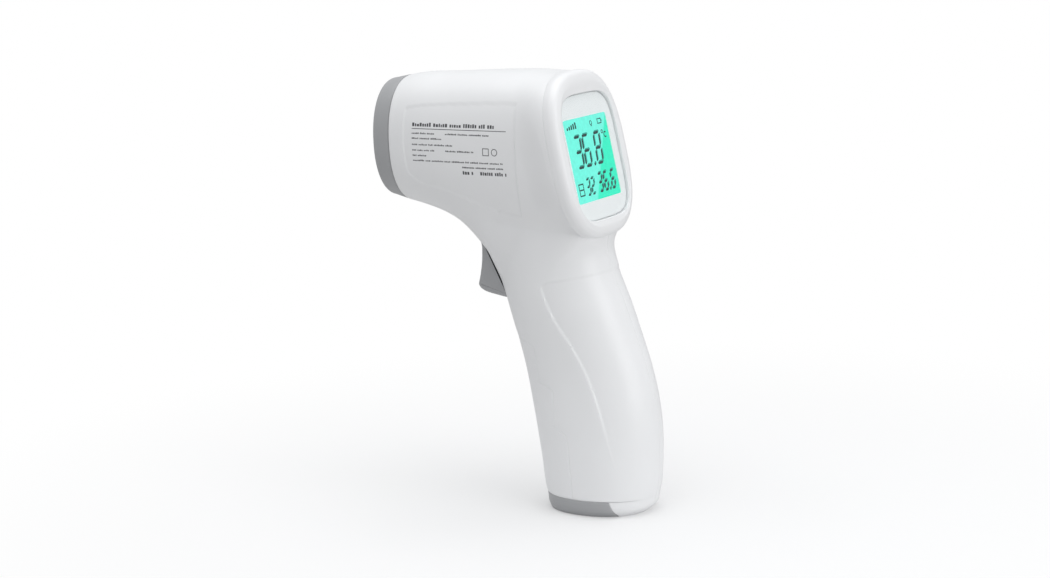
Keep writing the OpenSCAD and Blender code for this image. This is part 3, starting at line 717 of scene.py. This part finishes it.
def metal(name, colour, rough, brushed=True):
    """Bright metal with fine turned or drawn marks."""
    s = Shader(name)
    size = (8.0, 0.5, 8.0) if brushed else (3.0, 3.0, 3.0)
    stretch = s.node("ShaderNodeMapping", Vector=s.place, Scale=size).outputs["Vector"]
    noise = s.node("ShaderNodeTexNoise", Scale=900.0, Detail=2.0, Vector=stretch)
    marks = noise.outputs["Fac"]
    gloss = s.ranged(marks, rough * 0.75, rough * 1.3)
    colours = s.mixed_colour(marks, colour, tuple(c * 0.85 for c in colour))
    body = s.node("ShaderNodeBsdfPrincipled", Base_Color=colours, Roughness=gloss, Metallic=1.0,
                  Normal=s.bump(marks, 0.05, 0.0001))
    return s.finish(body)


def rubber(name, colour):
    s = Shader(name)
    colours = s.mixed_colour(s.noise(400.0), colour, tuple(c * 0.8 for c in colour))
    body = s.node("ShaderNodeBsdfPrincipled", Base_Color=colours, Roughness=0.62,
                  Normal=s.bump(s.noise(3000.0), 0.08, 0.0002))
    return s.finish(body)


def circuit_board(name):
    """Green solder mask over faint copper tracks."""
    s = Shader(name)
    cells = s.node("ShaderNodeTexVoronoi", {"distance": "MANHATTAN"}, Scale=420.0, Vector=s.place)
    near = cells.outputs["Distance"]
    tracks = s.node("ShaderNodeMath", {"operation": "GREATER_THAN"}, (near, 0.55))
    colours = s.mixed_colour(tracks.outputs["Value"], (0.02, 0.16, 0.07), (0.03, 0.24, 0.11))
    body = s.node("ShaderNodeBsdfPrincipled", Base_Color=colours, Roughness=0.3,
                  Normal=s.bump(near, 0.1, 0.0001))
    return s.finish(body)


def clear_window(name):
    """Clear plate that shows what is behind it, with a polished reflection and faint smears."""
    s = Shader(name)
    clear = s.node("ShaderNodeBsdfTransparent", Color=(0.985, 0.995, 0.995, 1))
    shine = s.node("ShaderNodeBsdfGlossy", Color=(1, 1, 1, 1),
                   Roughness=s.ranged(s.noise(60.0), 0.015, 0.05))
    amount = s.node("ShaderNodeFresnel", IOR=1.49)
    behind = s.node("ShaderNodeNewGeometry").outputs["Backfacing"]
    front_only = s.node("ShaderNodeMath", {"operation": "SUBTRACT", "use_clamp": True},
                        (amount.outputs["Fac"], behind))
    return s.finish(s.mixed_shader(front_only.outputs["Value"], clear, shine))


# A pale reflection is painted into the display's colour, and ends along a slanted line.
# PAINTED_GLARE_ACROSS is the direction across that line, and PAINTED_GLARE_EDGE is where the colour
# starts and stops changing, in metres.
PAINTED_GLARE_ACROSS = (0, 0.848, -0.53)
PAINTED_GLARE_EDGE = (-0.0623, -0.0609)
PAINTED_GLARE_COLOUR = (0.17, 1.0, 0.82)
BACKLIGHT_COLOUR = (0.015, 0.94, 0.60)


def lit_picture(name):
    """Backlit liquid-crystal cell: strong cyan-green, with a painted reflection that makes it paler
    on one side of a slanted line.
    """
    s = Shader(name)
    along = s.node("ShaderNodeVectorMath", {"operation": "DOT_PRODUCT"}, (s.place, PAINTED_GLARE_ACROSS))
    edge = s.node("ShaderNodeMapRange", {"interpolation_type": "SMOOTHSTEP"},
                  Value=along.outputs["Value"], From_Min=PAINTED_GLARE_EDGE[0], From_Max=PAINTED_GLARE_EDGE[1])
    # Painted reflection: on one side of the slanted line the colour turns to the paler glare colour.
    colours = s.mixed_colour(edge.outputs["Result"], PAINTED_GLARE_COLOUR, BACKLIGHT_COLOUR)
    grain = s.ranged(s.noise(700.0), 0.94, 1.06)
    light = s.node("ShaderNodeEmission", Color=colours, Strength=grain)
    return s.finish(light)


def lcd_ink(name, colour):
    """Dark liquid-crystal segments, not quite even. With a paler colour it also paints the segments'
    shadow.
    """
    s = Shader(name)
    colours = s.mixed_colour(s.noise(900.0), colour, tuple(c * 0.7 for c in colour))
    light = s.node("ShaderNodeEmission", Color=colours, Strength=1.0)
    return s.finish(light)


def printed_ink(name):
    s = Shader(name)
    colours = s.mixed_colour(s.noise(2500.0), (0.03, 0.03, 0.035), (0.10, 0.10, 0.11))
    body = s.node("ShaderNodeBsdfPrincipled", Base_Color=colours, Roughness=0.55)
    return s.finish(body)


MATERIALS = [
    ("white_plastic", moulded_plastic, (0.845, 0.85, 0.86), 0.34),
    ("grey_plastic", moulded_plastic, (0.385, 0.39, 0.40), 0.42, 0.03),
    ("mask_print", moulded_plastic, (0.96, 0.965, 0.97), 0.5),
    ("clear_window", clear_window),
    ("gasket_rubber", rubber, (0.03, 0.03, 0.032)),
    ("black_plastic", moulded_plastic, (0.02, 0.02, 0.022), 0.4, 0.05, 0.8),
    ("gold_cup", metal, (0.83, 0.60, 0.22), 0.16, False),
    ("sensor_metal", metal, (0.75, 0.76, 0.78), 0.22, False),
    ("sensor_glass", moulded_plastic, (0.02, 0.025, 0.04), 0.08, 0.0, 0.9, 0.8),
    ("block_metal", metal, (0.66, 0.67, 0.69), 0.33),
    ("circuit_board", circuit_board),
    ("screw_steel", metal, (0.66, 0.66, 0.68), 0.26),
    ("lcd_glass", lit_picture),
    ("backlight", lit_picture),
    ("frame_plastic", moulded_plastic, (0.72, 0.72, 0.70), 0.5),
    ("membrane_rubber", rubber, (0.55, 0.55, 0.52)),
    ("red_plastic", moulded_plastic, (0.50, 0.03, 0.02), 0.35),
    ("cell_jacket", moulded_plastic, (0.03, 0.14, 0.32), 0.22, 0.01, 0.85),
    ("red_wire", moulded_plastic, (0.45, 0.02, 0.015), 0.4),
    ("black_wire", moulded_plastic, (0.015, 0.015, 0.016), 0.4),
]


# ---------- body pieces

def build_shell(skin, name, node, body_material, holes):
    first = COLUMNS[0]
    cheek = COLUMNS[0] + COLUMNS[1]
    slot_top, slot_bottom, door_top = skin.marks[1:4]

    def wanted(i, j):
        if i >= door_top:
            return j < first
        if slot_top <= i < slot_bottom:
            return j < cheek
        return True

    points, normals, faces = used_only(*skin_patch(skin, wanted))
    for spots, radius in holes:
        points, normals, faces = cut_holes(points, normals, faces, spots, radius)
    points, faces = add_rims(points, normals, faces, WALL)
    points, faces = joined([(points, faces), rear_floor(skin)])
    return make_piece(name, points, faces, body_material, "body", "white_plastic", node)


def rear_floor(skin):
    """Flat floor of one shell, behind the foot."""
    edge = skin.points[-1, :COLUMNS[0] + 1]
    middle = edge * np.array([1, 0, 1])
    points, faces = loft([edge, middle], closed=False)
    return points, faces if skin.side < 0 else [f[::-1] for f in faces]


def build_door(left, right, name, node, material, slot, first_row, last_row):
    """A cover that goes round the front of the handle, made from both skins."""
    def wanted(i, j):
        return first_row <= i < last_row and j >= COLUMNS[0]

    parts = [used_only(*skin_patch(skin, wanted)) for skin in (left, right)]
    points, faces = joined([(part[0], part[2]) for part in parts])
    normals = np.concatenate([part[1] for part in parts])
    points, normals, faces = used_only(points, normals, faces)
    if last_row == len(left.rows) - 1:
        a = left.points[-1, COLUMNS[0]:]
        b = right.points[-1, COLUMNS[0]:]
        sole = loft([b, a], closed=False)
        points, faces = joined([add_rims(points, normals, faces, WALL), sole])
    else:
        points, faces = add_rims(points, normals, faces, WALL)
    make_piece(name, points, faces, material, "battery_door", slot, node)


def build_hinge_tongues(material):
    """Curved tongues behind the shell's edge, centred on the line the door turns about."""
    parts = []
    axis_x, axis_z = DOOR_AXIS
    for y in (-6.5, 3.5):
        loops = []
        for step in range(25):
            a = math.radians(-58 + 86 * step / 24)
            loop = []
            for r, across in ((5.3, 0.1), (5.4, 0), (6.4, 0), (6.5, 0.1),
                              (6.5, 2.9), (6.4, 3.0), (5.4, 3.0), (5.3, 2.9)):
                loop.append((axis_x + r * math.cos(a), y + across, axis_z + r * math.sin(a)))
            loops.append(loop)
        parts.append(loft(loops, cap_first=True, cap_last=True))
    make_solid("door_tongues", joined(parts), material, "battery_door", "white_plastic")


# ---------- nose

def oval(x, half_width, half_height, middle, square, count):
    a = full_turn(count)
    return np.stack([
        np.full(count, x),
        half_width * signed_power(np.cos(a), 2 / square),
        middle + half_height * signed_power(np.sin(a), 2 / square),
    ], -1)


def build_nose_ring(material):
    """Oval ring with a round bore, softened at both of its edges."""
    count = 224
    square = 2.2
    front, back = -79.3, -71.8
    bore, counterbore = 15.35, 15.7
    middle, lifted = 131.8, 132.0

    loops = [oval(back, counterbore, counterbore, SENSOR_AXIS_Z, 2, count),
             oval(back, 16.9, 22.2, middle, square, count)]
    for k in range(7):
        sine = math.sin(math.radians(90 * k / 6))
        loops.append(oval(back - 0.3 * sine, 16.95 + 0.3 * sine, 22.35 + 0.3 * sine,
                          middle, square, count))

    front_edge = 1.2
    barrel = [(0.12, 17.3, 22.7, 131.8), (0.35, 17.15, 22.4, 131.84), (0.6, 16.95, 22.05, 131.9),
              (0.8, 16.75, 21.75, 131.95)]
    for share, wide, tall, centre in barrel:
        loops.append(oval(back + (front + front_edge - back) * share, wide, tall, centre,
                          square, count))
    for back_off, inset in quarter_round(9, front_edge):
        loops.append(oval(front + back_off, 16.6 - inset, 21.5 - inset, lifted, square, count))
    for flare, back_off in quarter_round(5, 0.4):
        loops.append(oval(front + back_off, bore + flare, bore + flare, SENSOR_AXIS_Z, 2, count))
    loops.append(oval(back, bore, bore, SENSOR_AXIS_Z, 2, count))
    make_solid("nose_ring_band", loft(loops, ring=True), material,
               "body", "grey_plastic", "nose_ring")


def build_funnel(material):
    """Black funnel behind the ring, with fine steps that stop stray reflections."""
    mouth = 14.0
    outline = [(-78.0, mouth + 1.15), (-78.2, mouth + 1.0), (-78.2, mouth + 0.1)]
    steps = 7
    for k in range(steps):
        a = k / steps
        b = (k + 1) / steps
        outline.append((-78.1 + 15.4 * a, mouth - 7.9 * a ** 0.9))
        outline.append((-78.1 + 15.4 * b - 0.35, mouth - 7.9 * a ** 0.9 - 0.25))
    outline += [(-62.5, 6.0), (-59, 6.0), (-59, 7.2), (-62, 7.2), (-72.5, 12.7), (-72.5, mouth + 1.2)]
    count = 160
    loops = [oval(x, r, r, SENSOR_AXIS_Z, 2, count) for x, r in outline]
    make_solid("sensor_funnel", loft(loops, ring=True), material,
               "body", "black_plastic", "sensor_cone")


# ---------- display

def face_oval(count, half_height, half_width, square, drop):
    """Down and across values of a rounded outline on the display face."""
    a = full_turn(count)
    down = drop + half_height * signed_power(np.cos(a), 2 / square)
    across = half_width * signed_power(np.sin(a), 2 / square)
    return down, across


def bezel_outline(count, grow):
    return face_oval(count, BEZEL_HALF_HEIGHT + grow, BEZEL_HALF_WIDTH + grow, BEZEL_SQUARE,
                     -BEZEL_RISE)


def window_outline(count, grow):
    return face_oval(count, WINDOW_HALF_HEIGHT + grow, WINDOW_HALF_WIDTH + grow,
                     WINDOW_SQUARE, WINDOW_DROP)


# Cut through the bezel's rim: share of the way from its outline to the window's,
# growth of its outline, and depth.
RIM = [
    (0.0, 0.00, -4.45), (0.0, 0.04, -3.2), (0.0, -0.05, -2.0), (0.0, -0.45, -0.8),
    (0.0, -1.35, 0.15), (0.06, -2.3, 0.52), (0.30, -2.6, 0.68), (0.62, -1.8, 0.60),
    (0.94, 0.0, 0.36),
]


def build_bezel(material):
    count = 256
    loops = []
    for share, grow, depth in smooth_line(RIM, 5):
        outer = bezel_outline(count, grow)
        inner = window_outline(count, 0.3)
        down = outer[0] + (inner[0] - outer[0]) * share
        across = outer[1] + (inner[1] - outer[1]) * share
        loops.append(from_face(down, across, depth))
    for grow, sink in quarter_round(5, 0.3):
        loops.append(from_face(*window_outline(count, 0.25 + grow), 0.34 - sink))
    for grow, depth in ((0.25, -0.6), (0.25, -1.3), (-1, -1.35), (-1, -6.9)):
        loops.append(from_face(*window_outline(count, grow), depth))
    lip = face_oval(count, 26, 19.6, BEZEL_SQUARE, 0)
    loops.append(from_face(*lip, -6.9))
    loops.append(from_face(*lip, -4.6))
    make_solid("bezel_rim", loft(loops, ring=True), material, "body", "white_plastic", "rear_bezel")


def face_plate(outlines, depths):
    """A plate on the display face through a list of outlines, closed at both ends."""
    loops = [from_face(*o, d) for o, d in zip(outlines, depths)]
    return loft(loops, cap_first=True, cap_last=True)


def build_window(material):
    count = 192
    grows = [-0.3, -0.06, 0, 0, -0.06, -0.22, -0.45]
    depths = [-0.8, -0.76, -0.6, -0.1, 0.08, 0.18, 0.2]
    plate = face_plate([window_outline(count, grow) for grow in grows], depths)
    make_solid("window_plate", plate, material, "body", "clear_window", "display_window")


def build_mask(material):
    """White print behind the window, open over the picture."""
    count = 192
    outer = window_outline(count, -0.1)
    down, across = face_oval(count, PICTURE_HALF_HEIGHT, PICTURE_HALF_WIDTH, PICTURE_SQUARE,
                             PICTURE_DROP)
    inner = (down, across + PICTURE_SHIFT)
    loops = [
        from_face(*outer, -1.05), from_face(*outer, -0.85),
        from_face(*inner, -0.85), from_face(*inner, -1.05),
    ]
    make_solid("window_print", loft(loops, ring=True), material,
               "body", "mask_print", "window_mask")


def build_picture(material):
    """The liquid-crystal cell, a plate with ground edges."""
    count = 160
    shape = []
    for grow in (-0.15, 0, 0, -0.15):
        down, across = face_oval(count, CELL_HALF_HEIGHT + grow, CELL_HALF_WIDTH + grow,
                                 CELL_SQUARE, PICTURE_DROP)
        shape.append((down, across + PICTURE_SHIFT))
    make_solid("picture_cell", face_plate(shape, [-3.0, -2.85, -1.28, -1.1]), material,
               "body", "lcd_glass", "lcd_glass")


def flat_shape(outline, depth):
    """A thin flat shape on the picture: outline points are across and up from its middle."""
    p = np.array(outline, float)
    across = p[:, 0] + PICTURE_SHIFT
    low = from_face(PICTURE_DROP - p[:, 1], across, depth - 0.03)
    high = from_face(PICTURE_DROP - p[:, 1], across, depth)
    return loft([low, high], cap_last=True, cap_first=True)


SEGMENTS = {
    "0": "abcdef", "2": "abged", "3": "abgcd", "6": "afgedc", "8": "abcdefg",
}


def digit_shapes(figure, left, bottom, width, height, thick, slant=0.06):
    """Outlines of the lit segments of one figure."""
    half, gap = thick / 2, thick * 0.16
    middle = height / 2

    def lie(y):
        start, end = half + gap, width - half - gap
        return [(start, y), (start + half, y + half), (end - half, y + half),
                (end, y), (end - half, y - half), (start + half, y - half)]

    def stand(x, low, high):
        start, end = low + half + gap, high - half - gap
        return [(x, start), (x + half, start + half), (x + half, end - half),
                (x, end), (x - half, end - half), (x - half, start + half)]

    shapes = {
        "a": lie(height - half), "g": lie(middle), "d": lie(half),
        "b": stand(width - half, middle, height - half), "c": stand(width - half, half, middle),
        "f": stand(half, middle, height - half), "e": stand(half, half, middle),
    }
    return [[(left + x + slant * y, bottom + y) for x, y in shapes[s]] for s in SEGMENTS[figure]]


def box_shape(left, bottom, width, height):
    return [(left, bottom), (left + width, bottom),
            (left + width, bottom + height), (left, bottom + height)]


def ring_shapes(x, y, r, thick, first=0, last=360):
    """A round stroke, as short pieces."""
    steps = max(int((last - first) / 30), 3)
    turns = [math.radians(first + (last - first) * k / steps) for k in range(steps + 1)]
    outer, inner = ([(x + reach * math.cos(a), y + reach * math.sin(a)) for a in turns]
                    for reach in (r, r - thick))
    return [[outer[k], outer[k + 1], inner[k + 1], inner[k]] for k in range(steps)]


def main_reading():
    """The large figures, 36.8, in the middle of the picture."""
    shapes = []
    for figure, left in (("3", -11.2), ("6", -5.4), ("8", 3.1)):
        shapes += digit_shapes(figure, left, -2.9, 5.0, 11.6, 0.95)
    shapes.append(box_shape(0.9, -2.9, 1.0, 1.0))
    return shapes


def degree_mark():
    return ring_shapes(11.0, 8.1, 0.75, 0.35) + ring_shapes(13.0, 6.9, 1.15, 0.45, 50, 310)


def small_reading():
    """The lower row: a stored reading's number and value."""
    shapes = []
    for figure, left in (("3", -8.2), ("2", -4.9)):
        shapes += digit_shapes(figure, left, -12.6, 2.7, 6.0, 0.6)
    for figure, left in (("3", 0.6), ("6", 4.6), ("6", 9.9)):
        shapes += digit_shapes(figure, left, -12.6, 3.4, 7.0, 0.85)
    shapes.append(box_shape(8.55, -12.6, 0.85, 0.85))
    return shapes


def picture_icons():
    """Plain signs: a row of bars, a ring on a foot, a battery and a frame of lines."""
    bars = [(-13.6 + 1.5 * k, 11.1, 0.9, 0.9 + 0.35 * k) for k in range(5)]
    signs = [(3.9, 10.7, 0.6, 0.4), (9.0, 11.0, 3.0, 0.35), (9.0, 12.6, 3.0, 0.35),
             (9.0, 11.0, 0.35, 1.95), (11.65, 11.0, 0.35, 1.95), (12.0, 11.6, 0.4, 0.75)]
    signs += [(-13.6, -12.2 + 2.0 * k, 3.6, 0.45) for k in range(3)]
    signs += [(-13.6, -12.2, 0.45, 4.4), (-10.45, -12.2, 0.45, 4.4)]
    return ([box_shape(*bar) for bar in bars] + ring_shapes(4.2, 12.0, 0.9, 0.35)
            + [box_shape(*sign) for sign in signs])


def build_figures(ink, shadow_ink):
    """The dark segments, and their shadow on the backlight, painted as paler copies a little off to
    one side.
    """
    dark = main_reading() + degree_mark() + small_reading() + picture_icons()
    make_solid("picture_figures", joined([flat_shape(s, -1.03) for s in dark]), ink,
               "body", "lcd_glass")
    # Painted shadow of the large and small figures, a little off to one side and behind them.
    shifted = [[(x + 0.62, y + 0.42) for x, y in s] for s in main_reading() + small_reading()]
    make_solid("picture_shadow", joined([flat_shape(s, -1.06) for s in shifted]), shadow_ink,
               "body", "lcd_glass")


# ---------- trigger and keys

TRIGGER_OUTLINE = [
    (-42.0, 96.2), (-41.8, 92.9), (-42.1, 87.7), (-42.9, 83.2), (-43.6, 80.4), (-43.7, 79.3),
    (-43.0, 78.2), (-41.8, 77.4), (-40.0, 76.7), (-36.0, 75.9), (-31.6, 75.2), (-30.2, 75.8),
    (-29.7, 82.0), (-29.9, 88.0), (-31.0, 93.0), (-32.5, 96.2), (-34.8, 97.0), (-38.5, 97.1),
]


def inset_outline(outline, amount):
    """A closed outline moved inwards by an amount."""
    before = np.roll(outline, 1, axis=0)
    after = np.roll(outline, -1, axis=0)
    run = after - before
    normal = np.stack([-run[:, 1], run[:, 0]], -1)
    normal /= np.linalg.norm(normal, axis=1, keepdims=True)
    area = np.sum(outline[:, 0] * after[:, 1] - after[:, 0] * outline[:, 1])
    return outline + normal * amount * np.sign(area)


def build_trigger(material):
    """Finger trigger with softly rounded cheeks."""
    outline = smooth_loop(TRIGGER_OUTLINE, 8)
    radius = 1.3
    corner = quarter_round(8, radius)
    loops = [(inset_outline(outline, a), -TRIGGER_HALF_WIDTH + b) for a, b in corner]
    loops += [(outline, (-1 + k / 6) * (TRIGGER_HALF_WIDTH - radius)) for k in range(1, 12)]
    loops += [(inset_outline(outline, b), TRIGGER_HALF_WIDTH - a) for a, b in corner]
    shaped = [np.stack([l[:, 0], np.full(len(l), y), l[:, 1]], -1) for l, y in loops]
    make_solid("trigger_lever", loft(shaped, cap_first=True, cap_last=True), material,
               "trigger", "grey_plastic", "trigger")


def build_key(node, material):
    """Round key with a dished top and a soft edge."""
    low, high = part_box(node)
    x, z = KEY_SPOTS[node]
    top = high.y / MM
    foot = low.y / MM
    outline = [(foot, 4.5), (foot + 0.7, 4.5), (foot + 0.7, 3.6)]
    outline += [(top - a, 3.6 - b) for a, b in quarter_round(7, 0.7)]
    outline += [(top - 0.06, 2.2), (top - 0.12, 1.1), (top - 0.14, 0.3)]
    count = 96
    a = full_turn(count)
    loops = [np.stack([x + r * np.cos(a), np.full(count, y), z + r * np.sin(a)], -1)
             for y, r in outline]
    make_solid(node + "_cap", loft(loops, cap_first=True, cap_last=True), material,
               node, "grey_plastic", node)


# ---------- rating print

def text_marks(left, right, middle, height, rng):
    """A row of small plain dashes in groups, which stands in for a line of print."""
    shapes = []
    tallest = 0.9 if height > 1.2 else 0.62
    x = left
    while x < right - height * 0.4:
        for _ in range(rng.integers(3, 9)):
            wide = height * rng.uniform(0.32, 0.6)
            if x + wide > right:
                break
            tall = height * tallest * rng.uniform(0.6, 1.0)
            shapes.append((x, middle - height / 2, wide, tall))
            x += wide + height * 0.2
        x += height * 0.5
    return shapes


def build_print(skin_object, ink):
    """Rating print on the left side: dashes for lines, a rule, a plain box and a ring."""
    rng = np.random.default_rng(7)
    tree = BVHTree.FromPolygons(
        [v.co.copy() for v in skin_object.data.vertices],
        [tuple(p.vertices) for p in skin_object.data.polygons])
    # Left end, right end, middle height and size of each row of dashes
    rows = [
        (-60.8, -25.2, 138.7, 1.55), (-61, -51, 135.7, 0.95), (-46.4, -27.6, 135.7, 0.95),
        (-61, -47.5, 133.9, 0.95), (-61, -42.8, 131.7, 0.95), (-61, -51, 129.7, 0.95),
        (-46.4, -34, 129.7, 0.95), (-61, -54.5, 127.8, 0.95), (-61, -22, 126.0, 0.95),
        (-39.5, -22, 124.2, 0.95), (-39.5, -34.5, 122.2, 1.45), (-32, -20.7, 122.2, 1.45),
    ]
    marks = []
    for left, right, middle, height in rows:
        marks += text_marks(left, right, middle, height, rng)
    marks += [(-61 + 0.65 * k, 137.0, 0.65, 0.22) for k in range(62)]
    x, low, side, line = -30.6, 128.4, 2.4, 0.25
    marks += [(x, low, side, line), (x, low + side, side, line),
              (x, low, line, side), (x + side, low, line, side + line)]
    parts = [box_shape(*mark) for mark in marks]
    parts += ring_shapes(-25.7, low + 1.3, 1.3, line)
    points, faces = [], []
    for shape in parts:
        start = len(points)
        for x, z in shape:
            hit = tree.ray_cast(Vector((x * MM, -0.05, z * MM)), Vector((0, 1, 0)))
            points.append((x, hit[0].y / MM - 0.025, z))
        faces.append(tuple(range(start, start + len(shape))))
    make_piece("rating_print", np.array(points), faces, ink, "body", "white_plastic")


# ---------- carried-over CAD nodes

def dress_frame(materials):
    """Gives every CAD node that stays in view its material, with its edges eased."""
    slots = {p["node"]: p["material_slot"] for p in frame["record"]["subparts"]}
    for name, node in frame["nodes"].items():
        node.data.materials.clear()
        node.data.materials.append(materials[slots[name]])
        weld = node.modifiers.new("weld", "WELD")
        weld.merge_threshold = 0.000004
        ease = node.modifiers.new("ease", "BEVEL")
        ease.width = 0.00008
        ease.segments = 2
        ease.limit_method = "ANGLE"
        ease.angle_limit = math.radians(50)


# ---------- studio

def soft_light(name, place, target, size, power):
    """A soft box that points from its place at a target, in metres and watts."""
    data = bpy.data.lights.new(name, "AREA")
    data.shape = "RECTANGLE"
    data.size, data.size_y = size
    data.energy = power
    light = bpy.data.objects.new(name, data)
    light.location = place
    light.rotation_euler = (Vector(target) - Vector(place)).to_track_quat("-Z", "Y").to_euler()
    bpy.context.scene.collection.objects.link(light)


def build_floor():
    """Pale floor that fades into the white surroundings away from the object."""
    s = Shader("floor")
    away = s.node("ShaderNodeVectorMath", {"operation": "LENGTH"}, (s.place,))
    fade = s.node("ShaderNodeMapRange", {"interpolation_type": "SMOOTHSTEP"},
                  Value=away.outputs["Value"], From_Min=0.03, From_Max=0.30, To_Min=0.25)
    pale = s.mixed_colour(s.noise(8.0), (0.90, 0.90, 0.90), (0.88, 0.88, 0.885))
    matt = s.node("ShaderNodeBsdfDiffuse", Color=pale)
    to_camera = s.node("ShaderNodeLightPath").outputs["Is Camera Ray"]
    glow = s.node("ShaderNodeMapRange", Value=to_camera, To_Min=0.50)
    lit = s.node("ShaderNodeEmission", Color=(1, 1, 1, 1), Strength=glow.outputs["Result"])
    material = s.finish(s.mixed_shader(fade.outputs["Result"], matt, lit))
    count, height = 64, -0.05
    a = full_turn(count)
    loops = [np.stack([r * np.cos(a), r * np.sin(a), np.full(count, height)], -1)
             for r in (50, 400, 1200, 4000)]
    points, faces = loft(loops, cap_first=True)
    make_piece("floor", points, faces, material, None, None)


def build_world():
    world = bpy.data.worlds.new("studio")
    bpy.context.scene.world = world
    world.use_nodes = True
    tree = world.node_tree
    tree.nodes.clear()
    out = tree.nodes.new("ShaderNodeOutputWorld")
    seen = tree.nodes.new("ShaderNodeBackground")
    seen.inputs["Color"].default_value = (1, 1, 1, 1)
    soft = tree.nodes.new("ShaderNodeBackground")
    soft.inputs["Color"].default_value = (0.97, 0.985, 1.0, 1)
    soft.inputs["Strength"].default_value = 0.60
    path = tree.nodes.new("ShaderNodeLightPath")
    mix = tree.nodes.new("ShaderNodeMixShader")
    tree.links.new(path.outputs["Is Camera Ray"], mix.inputs[0])
    tree.links.new(soft.outputs["Background"], mix.inputs[1])
    tree.links.new(seen.outputs["Background"], mix.inputs[2])
    tree.links.new(mix.outputs["Shader"], out.inputs["Surface"])


def build_lights():
    soft_light("top_box", place=(-0.05, -0.05, 0.95), target=(-0.02, 0, 0.1),
               size=(0.9, 0.9), power=4.5)
    soft_light("display_side_box", place=(0.95, -0.25, 0.35), target=(0, 0, 0.1),
               size=(0.7, 0.9), power=3.8)


def build_camera():
    """Camera at the angle, distance and lens that the object is seen with."""
    azimuth, elevation, roll = (math.radians(v) for v in (29.67, 10.0, -2.25))
    aim, distance = Vector((-0.025, 0, 0.085)), 0.7873
    away = Vector((math.sin(azimuth) * math.cos(elevation),
                   -math.cos(azimuth) * math.cos(elevation), math.sin(elevation)))
    right = Vector((math.cos(azimuth), math.sin(azimuth), 0))
    up = away.cross(right)
    turned_right = right * math.cos(roll) + up * math.sin(roll)
    turned_up = up * math.cos(roll) - right * math.sin(roll)
    data = bpy.data.cameras.new("camera")
    data.sensor_width = 36
    data.lens = 75.2
    data.shift_x = -0.0055
    data.shift_y = -0.0190
    data.clip_start = 0.01
    camera = bpy.data.objects.new("camera", data)
    turn = Matrix((turned_right, turned_up, away)).transposed()
    camera.matrix_world = Matrix.Translation(aim + away * distance) @ turn.to_4x4()
    bpy.context.scene.collection.objects.link(camera)
    bpy.context.scene.camera = camera
    bpy.context.scene.view_settings.view_transform = "Standard"


# ---------- all of it

def build():
    materials = {name: recipe(name, *values) for name, recipe, *values in MATERIALS}
    white = materials["white_plastic"]
    grey = materials["grey_plastic"]
    dress_frame(materials)
    left, right = Skin(-1), Skin(1)
    left_object = build_shell(left, "left_skin", "left_shell", white, [])
    build_shell(right, "right_skin", "right_shell", white,
                [(list(KEY_SPOTS.values()), KEY_HOLE_R), (SCREW_SPOTS, SCREW_HOLE_R)])
    door_top, foot_top = left.marks[3], left.marks[4]
    build_door(left, right, "door_skin", "battery_door", white, "white_plastic", door_top, foot_top)
    build_door(left, right, "foot_skin", "door_foot", grey, "grey_plastic",
               foot_top, len(left.rows) - 1)
    build_hinge_tongues(white)
    build_nose_ring(grey)
    build_funnel(materials["black_plastic"])
    build_bezel(white)
    build_window(materials["clear_window"])
    build_mask(materials["mask_print"])
    build_picture(materials["lcd_glass"])
    # The second colour is the painted shadow of the segments on the backlight.
    build_figures(lcd_ink("lcd_ink", (0.004, 0.05, 0.045)), lcd_ink("lcd_shadow", (0.03, 0.42, 0.34)))
    build_trigger(grey)
    for node in KEY_SPOTS:
        build_key(node, grey)
    build_print(left_object, printed_ink("printed_ink"))


build()
build_floor()
build_world()
build_lights()
build_camera()
